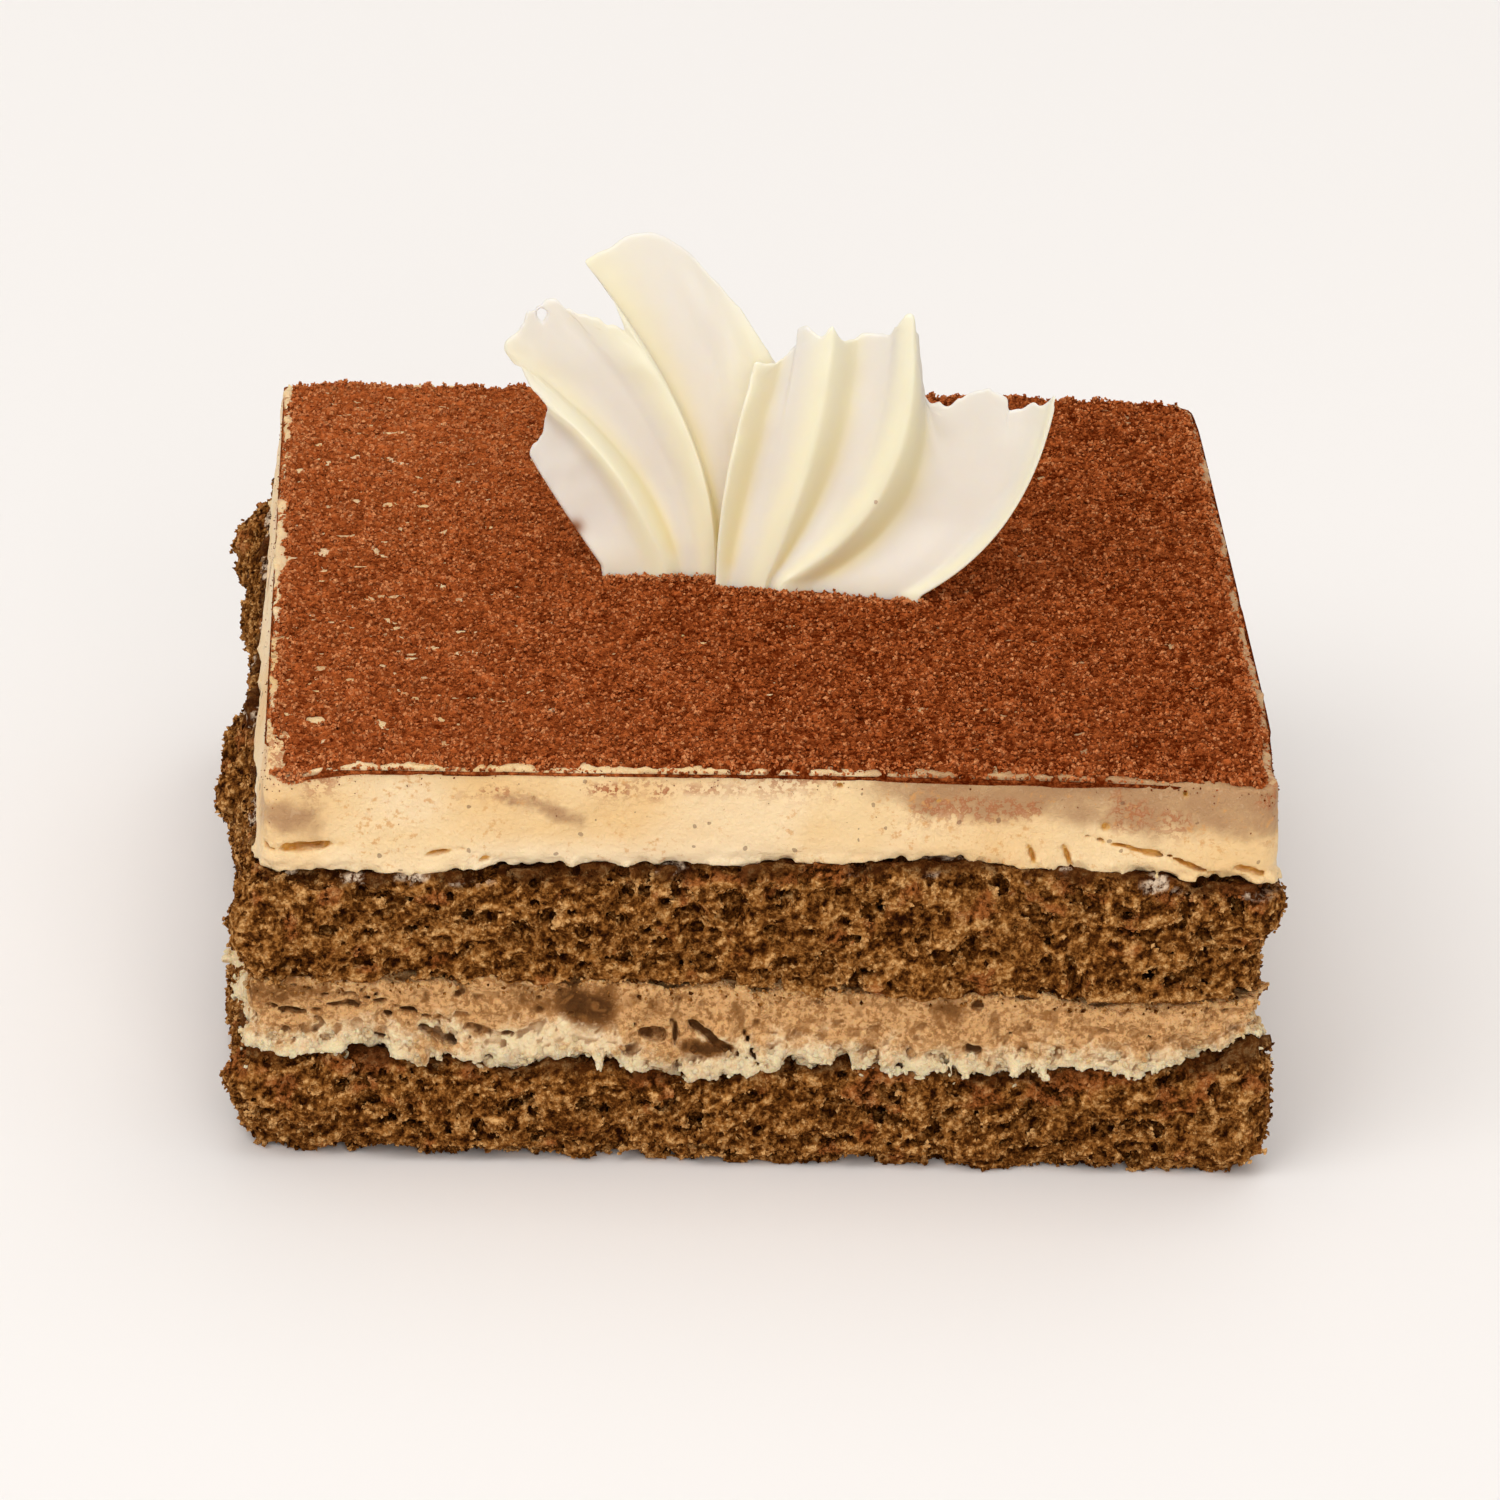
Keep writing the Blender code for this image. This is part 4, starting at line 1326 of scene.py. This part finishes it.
@dataclass(frozen=True)
class Fan:
    """A fluted fan of white chocolate.

    Attributes:
        node: The CAD node that it replaces.
        foot: Where its foot stands on the block, in mm.
        turn: How far it is turned about Z, in degrees.
        ribs: Its ribs from left to right.
        petals: The petals between them.
        swerve: How far its tips curl back.
        burnt: Place and radius of a brown spot in the fan's plane, if it has one.
        hole: Place and radius of a hole, if it has one.
        lean: How far it leans back, in degrees.
        spacing: The distance between its columns at the crest, in mm.
        rows: How many rows of faces it has from foot to crest.
        foot_height: Where its foot meets the cream.
        root_depth: How far it is pushed into the cream.
        base: How thick it is at its foot, and edge at its crest.
    """

    node: str
    foot: tuple[float, float]
    turn: float
    ribs: tuple[Rib, ...]
    petals: tuple[Petal, ...]
    swerve: float
    burnt: tuple[float, float, float] = (0.0, -50.0, 1.0)
    hole: tuple[float, float, float] = (0.0, -50.0, 1.0)
    lean: float = 10.0
    spacing: float = 0.36
    rows: int = 56
    foot_height: float = 37.4
    root_depth: float = 3.0
    base: float = 1.3
    edge: float = 0.42

    def place(self) -> Matrix:
        """From the fan's own frame to the block's."""
        upright = Matrix.Rotation(math.radians(self.turn), 4, "Z")
        lean = Matrix.Rotation(math.radians(-self.lean), 4, "X")
        return Matrix.Translation((*self.foot, self.foot_height)) @ upright @ lean

    def foot_points(self, count: int) -> list[Vector]:
        """Points along the foot, where it meets the cream."""
        start, end = self.ribs[0].root[0], self.ribs[-1].root[0]
        return [self.place() @ Vector((start + (end - start) * i / (count - 1), 0, 0)) for i in range(count)]

    def columns(self) -> list[Column]:
        """The fan's columns from left to right."""
        found = []
        for number, (petal, left, right) in enumerate(zip(self.petals, self.ribs, self.ribs[1:])):
            length = sum((Vector(b) - Vector(a)).length for a, b in zip(petal.crest, petal.crest[1:]))
            count = round(length / self.spacing)
            for i, tip in enumerate(petal.tips(count)):
                share = i / count
                if number and not i:
                    continue
                fall = eased(0, left.flank, share) if left.flank else 1.0
                climb = eased(1 - right.approach, 1, share) if right.approach else 0.0
                sag = 1 - 0.42 * eased(left.flank, 0.78, share)
                near_left = math.exp(-((share / max(left.flank, 0.01) * 1.4) ** 2)) if left.flank else 0.0
                near_right = math.exp(-(((1 - share) / max(right.approach, 0.01) * 1.5) ** 2)) if right.approach else 0.0
                forward = left.rise * near_left + right.rise * near_right
                # where yellow shade is painted, just right of a rib
                valley = math.exp(-(((share - left.flank * 0.8) / 0.12) ** 2)) * bool(left.flank)
                found.append(
                    Column(
                        Vector(left.root).lerp(Vector(right.root), share),
                        Vector(left.bend).lerp(Vector(right.bend), share),
                        tip,
                        petal.depth * fall * sag * (1 - climb) - forward,
                        max(near_left, near_right),
                        valley,
                        petal.torn,
                    )
                )
        return found

    def build(self) -> bpy.types.Object:
        """Makes the fan: a sheet through its columns, thickened backwards, thin and torn at its crest."""
        columns = self.columns()
        bm = bmesh.new()
        bmesh.ops.create_grid(bm, x_segments=len(columns) - 1, y_segments=self.rows, size=1.0)
        rib = bm.verts.layers.float.new("rib")
        valley = bm.verts.layers.float.new("valley")
        brown = bm.verts.layers.float.new("burnt")
        wander = np.array([[i * 0.36, j * 0.4, 0.0] for i in range(len(columns)) for j in range(self.rows + 1)])
        torn = Noise(0.8, 201).at(wander) * 0.16 + Noise(0.45, 202).at(wander) * 0.10
        wavy = Noise(3.0, 203).at(wander) * 0.10
        order = sorted(bm.verts, key=lambda vert: (round(vert.co.x, 5), round(vert.co.y, 5)))
        shares = {}
        for number, vert in enumerate(order):
            i, j = divmod(number, self.rows + 1)
            column = columns[i]
            share = (max(j - 1, 0) / (self.rows - 1)) ** 0.85
            flat = (1 - share) ** 2 * column.root + 2 * share * (1 - share) * column.bend + share**2 * column.tip
            jag = torn[number] * column.torn * share**12
            flat = flat * (1 + jag / 20)
            relief = 0.30 + 0.70 * eased(0, 0.45, share)
            back = column.hollow * relief + self.swerve * share**2 + wavy[number] * share
            vert.co = (flat.x, back, flat.y + jag - (self.root_depth if j == 0 else 0.0))
            fade = 1 - 0.3 * share
            vert[rib] = min(column.rib * fade + 0.4 * (1 - share) ** 3, 1.0)
            # the valley value: where yellow shade is painted beside the ribs
            vert[valley] = column.valley * (1 - 0.55 * share) * eased(0, 0.1, share)
            apart = math.hypot(flat.x - self.burnt[0], flat.y - self.burnt[1])
            vert[brown] = math.exp(-((apart / self.burnt[2]) ** 2))
            shares[vert] = share
        middle = Vector(self.hole[:2])
        gone = [face for face in bm.faces if (face.calc_center_median().xz - middle).length < self.hole[2]]
        bmesh.ops.delete(bm, geom=gone, context="FACES")
        depths = [shares[vert] for vert in bm.verts]
        count = len(bm.verts)
        bmesh.ops.extrude_face_region(bm, geom=bm.faces[:], use_keep_orig=True)
        bm.verts.ensure_lookup_table()
        for share, vert in zip(depths, bm.verts[count:]):
            vert.co.y += self.base + (self.edge - self.base) * share**0.8
        bmesh.ops.recalc_face_normals(bm, faces=bm.faces)
        bm.transform(Matrix.Scale(MM, 4) @ self.place())
        mesh = bpy.data.meshes.new(self.node + "_sheet")
        bm.to_mesh(mesh)
        bm.free()
        mesh.shade_smooth()
        piece = finished(mesh, CHOCOLATE.material(), self.node)
        smooth = piece.modifiers.new("soft edges", "SUBSURF")
        smooth.levels = smooth.render_levels = 1
        return piece


LEFT_FAN = Fan(
    "chocolate_fan_left",
    (-8.75, -2.5),
    4.0,
    (
        Rib((-5.0, 0.4), (-8.4, 5.0), flank=0.0, rise=0.0),
        Rib((0.4, 0.6), (-3.5, 10.5), flank=0.36, approach=0.34),
        Rib((4.9, 0.6), (4.6, 12.1), flank=0.28, approach=0.36),
        Rib((7.0, 0.4), (9.5, 9.0), approach=0.46, rise=0.5),
    ),
    (
        Petal(1.3, ((-11.3, 9.7), (-11.2, 10.7), (-10.4, 11.9), (-10.0, 13.4), (-10.0, 14.5))),
        Petal(
            1.6,
            (
                (-10.0, 14.5), (-11.3, 16.0), (-12.3, 17.8), (-13.9, 19.4), (-12.6, 20.9), (-11.8, 22.7),
                (-11.0, 23.9), (-9.4, 23.7), (-7.8, 22.8), (-5.9, 22.2), (-4.1, 21.8), (-3.3, 21.6),
            ),
        ),
        Petal(
            1.9,
            (
                (-3.3, 21.6), (-4.4, 24.1), (-5.7, 25.9), (-6.9, 27.2), (-5.8, 27.9), (-4.7, 28.3), (-3.3, 29.5),
                (-1.5, 29.9), (0.1, 29.6), (2.4, 28.1), (4.6, 25.8), (6.9, 23.3), (8.2, 21.4), (9.2, 19.9), (10.2, 18.3),
            ),
            0.15,
        ),
    ),
    2.0,
    burnt=(-7.3, 3.9, 0.7),
    hole=(-10.5, 22.6, 0.5),
)
RIGHT_FAN = Fan(
    "chocolate_fan_right",
    (4.85, -5.65),
    -8.0,
    (
        Rib((-8.8, 0.4), (-9.2, 8.7), flank=0.30, rise=0.5),
        Rib((-4.5, 0.4), (-0.2, 11.7), flank=0.30, approach=0.44),
        Rib((-3.2, 0.4), (9.4, 8.0), flank=0.24, approach=0.50, rise=0.5),
        Rib((9.1, 0.2), (18.7, 6.3), approach=0.17, rise=0.7),
    ),
    (
        Petal(
            1.5,
            (
                (-6.6, 19.7), (-5.4, 19.7), (-4.5, 20.1), (-3.9, 20.7), (-3.2, 21.0), (-3.0, 21.7), (-3.2, 22.5),
                (-2.1, 23.1), (-1.1, 22.8), (0.0, 23.5),
            ),
        ),
        Petal(
            1.7,
            (
                (0.0, 23.5), (0.6, 22.9), (1.9, 22.3), (2.9, 22.7), (4.0, 23.0), (5.1, 23.2), (5.7, 24.7), (6.2, 25.4),
                (6.9, 25.0),
            ),
        ),
        Petal(
            2.2,
            (
                (6.9, 25.0), (7.5, 22.9), (7.6, 20.6), (7.9, 18.6), (8.8, 17.1), (9.9, 16.8), (11.0, 17.3),
                (12.2, 18.2), (13.6, 18.8), (14.7, 18.4), (15.6, 17.7), (15.8, 17.1), (17.0, 17.6), (18.3, 18.1),
                (19.1, 18.1), (19.6, 19.0), (20.0, 19.3),
            ),
        ),
    ),
    1.0,
)


# --------------------------------------------------------------------------------------------- the studio


def facing_centre(azimuth: float, elevation: float) -> tuple[Vector, Matrix]:
    """The direction from the block at these angles in degrees, and the turn of something there that looks back."""
    turn, rise = math.radians(azimuth), math.radians(elevation)
    away = Vector((math.sin(turn) * math.cos(rise), -math.cos(turn) * math.cos(rise), math.sin(rise)))
    return away, (-away).to_track_quat("-Z", "Y").to_matrix().to_4x4()


@dataclass(frozen=True)
class Viewpoint:
    """Where the camera stands, in mm and degrees, and what it aims at."""

    azimuth: float = -3.252
    elevation: float = 24.512
    roll: float = 2.806
    distance: float = 667.8
    target: tuple[float, float, float] = (0.17, 0.0, 19.35)
    lens: float = 178.87

    def build(self) -> bpy.types.Object:
        """Makes the camera and gives it to the scene."""
        away, look = facing_centre(self.azimuth, self.elevation)
        lens = bpy.data.cameras.new("camera")
        lens.lens, lens.sensor_width = self.lens, 36.0
        lens.clip_start, lens.clip_end = 0.05, 20.0
        camera = bpy.data.objects.new("camera", lens)
        bpy.context.scene.collection.objects.link(camera)
        place = Matrix.Translation((Vector(self.target) + away * self.distance) * MM)
        camera.matrix_world = place @ look @ Matrix.Rotation(math.radians(self.roll), 4, "Z")
        bpy.context.scene.camera = camera
        return camera


@dataclass(frozen=True)
class Softbox:
    """A large soft lamp: where it stands from the block's middle, its side in metres and its power."""

    name: str
    azimuth: float
    elevation: float
    distance: float
    side: float
    power: float
    colour: Colour = (1.0, 1.0, 1.0)

    def build(self) -> bpy.types.Object:
        """Makes the lamp, aimed at the block."""
        away, look = facing_centre(self.azimuth, self.elevation)
        lamp = bpy.data.lights.new(self.name, "AREA")
        lamp.shape, lamp.size, lamp.energy, lamp.color = "SQUARE", self.side, self.power, self.colour
        made = bpy.data.objects.new(self.name, lamp)
        bpy.context.scene.collection.objects.link(made)
        made.matrix_world = Matrix.Translation(away * self.distance + Vector((0, 0, 0.02))) @ look
        return made


@dataclass(frozen=True)
class Studio:
    """A plain pale floor under soft light."""

    floor_side: float = 8.0
    floor_colour: Colour = (0.87, 0.833, 0.803)
    sky: Colour = (1.0, 0.985, 0.965)
    sky_strength: float = 0.46

    def build(self) -> None:
        """Makes the floor, the sky and the lamps."""
        bm = bmesh.new()
        bmesh.ops.create_grid(bm, x_segments=1, y_segments=1, size=self.floor_side / 2)
        mesh = bpy.data.meshes.new("floor")
        bm.to_mesh(mesh)
        bm.free()
        floor = bpy.data.objects.new("floor", mesh)
        floor.location.z = -0.0001
        bpy.context.scene.collection.objects.link(floor)
        material = bpy.data.materials.new("paper floor")
        material.use_nodes = True
        shader = material.node_tree.nodes["Principled BSDF"]
        shader.inputs["Base Color"].default_value = rgba(self.floor_colour)
        shader.inputs["Roughness"].default_value = 0.75
        mesh.materials.append(material)
        world = bpy.data.worlds.new("sky")
        world.use_nodes = True
        light = world.node_tree.nodes["Background"]
        light.inputs["Color"].default_value = rgba(self.sky)
        light.inputs["Strength"].default_value = self.sky_strength
        bpy.context.scene.world = world
        bpy.context.scene.view_settings.view_transform = "Standard"
        Softbox("key", -48.0, 48.0, 2.4, 1.7, 23.0).build()
        Softbox("front", 8.0, 25.0, 3.6, 2.2, 37.0).build()
        Softbox("back", 160.0, 55.0, 2.6, 1.8, 10.0).build()
        Softbox("top", 0.0, 88.0, 2.4, 1.8, 13.5).build()


SPONGE_LOWER = Sponge(
    "sponge_lower", "soaked_sponge", SPONGE, 11, rest=True,
    cuts=(Mark(Side.FRONT, -0.9, 0.72, 1.1, 0.6, 1.6), Mark(Side.FRONT, 7.0, 0.88, 1.0, 0.5, 1.6)),
    bulges=(
        Mark(Side.LEFT, 41.0, 0.65, 2.5, 1.3, 1.1),
        Mark(Side.LEFT, -12.0, 0.5, 3.0, 2.4, 1.1),
        Mark(Side.RIGHT, 18.0, 0.6, 3.0, 2.0, 0.9),
        Mark(Side.BACK, -20.0, 0.4, 3.0, 2.0, 0.8),
    ),
)
CREAM_LOWER = CoffeeCream(
    "cream_lower", "coffee_cream", COFFEE_CREAM, 31,
    cuts=(
        Mark(Side.FRONT, -40.2, 0.62, 2.2, 0.16, 0.8, -0.24),
        Mark(Side.FRONT, -35.5, 0.70, 2.4, 0.14, 0.7, -0.10),
        Mark(Side.FRONT, -30.6, 0.64, 3.3, 0.26, 1.1, -0.34),
        Mark(Side.FRONT, -27.4, 0.30, 2.4, 0.34, 1.6, -0.31),
        Mark(Side.FRONT, -32.4, 0.16, 0.9, 0.34, 1.6),
        Mark(Side.FRONT, -24.0, 0.43, 1.5, 0.50, 0.9, -0.15),
        Mark(Side.FRONT, -4.6, 0.465, 2.2, 0.50, 2.0, -0.55),
        Mark(Side.FRONT, -9.3, 0.44, 1.1, 0.50, 1.2),
        Mark(Side.FRONT, -7.4, 0.48, 0.28, 0.90, 1.2),
        Mark(Side.FRONT, -1.0, 0.30, 0.7, 0.30, 1.0, -2.0),
        Mark(Side.FRONT, 17.9, 0.33, 0.6, 0.35, 1.2),
        Mark(Side.RIGHT, -20.0, 0.55, 3.0, 0.24, 1.1, 0.2),
        Mark(Side.RIGHT, 14.0, 0.35, 1.8, 0.45, 1.6, -0.3),
        Mark(Side.BACK, -12.0, 0.6, 3.2, 0.22, 1.0, -0.25),
        Mark(Side.BACK, 18.0, 0.4, 2.0, 0.45, 1.6, 0.3),
        Mark(Side.LEFT, 8.0, 0.55, 3.4, 0.24, 1.1, 0.3),
        Mark(Side.LEFT, -24.0, 0.35, 1.6, 0.50, 1.5),
    ),
    patches=(
        Mark(Side.FRONT, -15.3, 0.76, 2.7, 2.1),
        Mark(Side.FRONT, -4.7, 0.30, 1.7, 0.5),
        Mark(Side.RIGHT, 22.0, 0.7, 3.0, 1.6),
        Mark(Side.BACK, -24.0, 0.7, 2.6, 1.8),
        Mark(Side.LEFT, -10.0, 0.7, 2.4, 1.6),
    ),
    pale_patches=(Mark(Side.FRONT, -19.0, 0.25, 8.0, 2.6), Mark(Side.LEFT, 20.0, 0.3, 7.0, 2.4)),
)
SPONGE_UPPER = Sponge(
    "sponge_upper", "soaked_sponge", SPONGE, 21, smeared=0.85,
    cuts=(
        Mark(Side.FRONT, -21.1, 0.53, 1.1, 0.75, 2.0),
        Mark(Side.FRONT, -37.1, 0.50, 1.0, 0.6, 1.4),
        Mark(Side.RIGHT, 9.0, 0.6, 1.0, 0.6, 1.6),
        Mark(Side.BACK, -16.0, 0.4, 1.1, 0.7, 1.6),
        Mark(Side.LEFT, 5.0, 0.5, 0.9, 0.6, 1.6),
    ),
    bulges=(
        Mark(Side.LEFT, -37.0, 0.5, 4.2, 4.6, 2.1),
        Mark(Side.LEFT, -20.0, 0.5, 2.6, 2.6, 1.2),
        Mark(Side.LEFT, 9.0, 0.45, 3.2, 3.2, 1.4),
        Mark(Side.LEFT, 18.0, 0.55, 2.3, 2.2, 2.1),
        Mark(Side.LEFT, 41.0, 0.5, 2.4, 3.2, 1.1),
        Mark(Side.RIGHT, 0.0, 0.8, 4.0, 1.8, 1.0),
        Mark(Side.BACK, 12.0, 0.5, 3.4, 2.6, 1.0),
    ),
)
CREAM_UPPER = TopCream(
    "cream_upper", "mascarpone_cream", CREAM, 41, overlap=0.1,
    cuts=(
        Mark(Side.FRONT, -39.2, 0.25, 3.5, 0.46, 1.7, 0.05),
        Mark(Side.FRONT, -27.8, 0.165, 1.3, 0.16, 0.7, 0.12),
        Mark(Side.FRONT, -23.5, 0.10, 1.3, 0.20, 0.5, 0.3),
        Mark(Side.FRONT, 5.4, 0.85, 0.26, 0.24, 0.6),
        Mark(Side.FRONT, 13.8, 0.68, 0.20, 0.18, 0.5),
        Mark(Side.FRONT, 27.9, 0.47, 0.42, 0.40, 0.5),
        Mark(Side.FRONT, 34.4, 0.90, 0.26, 0.36, 0.8),
        Mark(Side.FRONT, 30.6, 0.26, 3.2, 0.28, 1.1, -0.16),
        Mark(Side.FRONT, 21.9, 0.10, 0.40, 0.50, 0.9, -2.6),
        Mark(Side.FRONT, 24.9, 0.11, 0.46, 0.55, 0.9, -2.2),
        Mark(Side.FRONT, 35.2, 0.15, 2.6, 0.26, 1.0, -0.34),
        Mark(Side.FRONT, 40.5, 0.10, 1.4, 0.34, 1.0, -0.3),
        Mark(Side.RIGHT, -24.0, 0.22, 2.6, 0.22, 0.9, 0.1),
        Mark(Side.RIGHT, 18.0, 0.6, 0.35, 0.34, 0.5),
        Mark(Side.BACK, 6.0, 0.18, 3.0, 0.24, 1.0, -0.08),
        Mark(Side.BACK, -28.0, 0.7, 0.3, 0.3, 0.5),
        Mark(Side.LEFT, 12.0, 0.2, 2.4, 0.22, 0.9, 0.1),
    ),
    stains=(
        Mark(Side.FRONT, -40.2, 0.53, 2.9, 1.9),
        Mark(Side.FRONT, -18.6, 0.575, 2.7, 0.8, 1.0, -0.40),
        Mark(Side.FRONT, -22.6, 0.70, 1.5, 0.5, 1.0, -0.40),
        Mark(Side.RIGHT, 30.0, 0.55, 4.0, 1.5),
        Mark(Side.BACK, -10.0, 0.6, 5.0, 1.2, 1.0, 0.3),
        Mark(Side.LEFT, -4.0, 0.6, 4.0, 1.2),
    ),
    smears=(
        Mark(Side.FRONT, -8.0, 0.80, 8.0, 0.8),
        Mark(Side.FRONT, -23.5, 0.78, 1.8, 0.6),
        Mark(Side.BACK, 20.0, 0.8, 6.0, 0.7),
    ),
)


def make_cocoa() -> None:
    """Makes the powder and its grains, heaped at the fans' feet and over the front left corner."""
    cocoa = CocoaDusting()
    cocoa.build()
    fine = Crumbs("cocoa_grains", COCOA, "cocoa", Grains(seed=51))
    cocoa.strew(fine, 24500, (0.13, 0.21))
    fine.build()
    coarse = Crumbs("cocoa_clumps", COCOA, "cocoa", Grains(seed=53))
    cocoa.strew(coarse, 13000, (0.16, 0.25))
    cocoa.line_rim(coarse, 8200, (0.13, 0.24))
    for number, point in enumerate(point for fan in (LEFT_FAN, RIGHT_FAN) for point in fan.foot_points(12)):
        for off, count in ((-0.5, 16 + 22 * (number % 3 == 0)), (2.0, 16)):
            level = float(cocoa.surface(*np.array([[point.x], [point.y + off]]))[0][0])
            cocoa.heap(coarse, (point.x, point.y + off, level + 0.1), (1.1, 0.5, 0.28), count)
    cocoa.heap(coarse, (-40.3, -42.15, 35.3), (1.9, 0.65, 0.75), 260)
    coarse.cling(CREAM_UPPER, 900, (0.80, 0.98), (0.05, 0.12))
    coarse.cling(CREAM_UPPER, 200, (0.45, 0.80), (0.04, 0.09))
    coarse.build()


def main() -> None:
    """Builds the pieces in order."""
    logging.basicConfig(level=logging.INFO, format="%(name)s: %(message)s")
    Viewpoint().build()
    Studio().build()
    for layer in (SPONGE_LOWER, CREAM_LOWER, SPONGE_UPPER, CREAM_UPPER):
        layer.build()
    for sponge, below, seed in ((SPONGE_LOWER, SPONGE_LOWER, 61), (SPONGE_UPPER, CREAM_LOWER, 63)):
        crumbs = Crumbs(sponge.node + "_grains", SPONGE, "soaked_sponge", Grains(seed=seed))
        crumbs.cling(sponge, 20500, (0.02, 0.99), (0.15, 0.30))
        band, tones = ((0.0, 0.06), (0.0, 0.4)) if below.rest else ((0.90, 1.15), (0.15, 0.9))
        crumbs.cling(below, 2600, band, (0.12, 0.28), tones=tones)
        crumbs.build()
    bits = Crumbs("cream_bits", COFFEE_CREAM, "coffee_cream", Grains(6, 4, 0.5, 71))
    bits.cling(CREAM_LOWER, 2600, (-0.2, 0.30), (0.14, 0.38), 0.6)
    bits.cling(SPONGE_LOWER, 70, (0.82, 1.0), (0.12, 0.36), 0.6)
    bits.build()
    make_cocoa()
    LEFT_FAN.build()
    RIGHT_FAN.build()


if __name__ == "__main__":
    main()
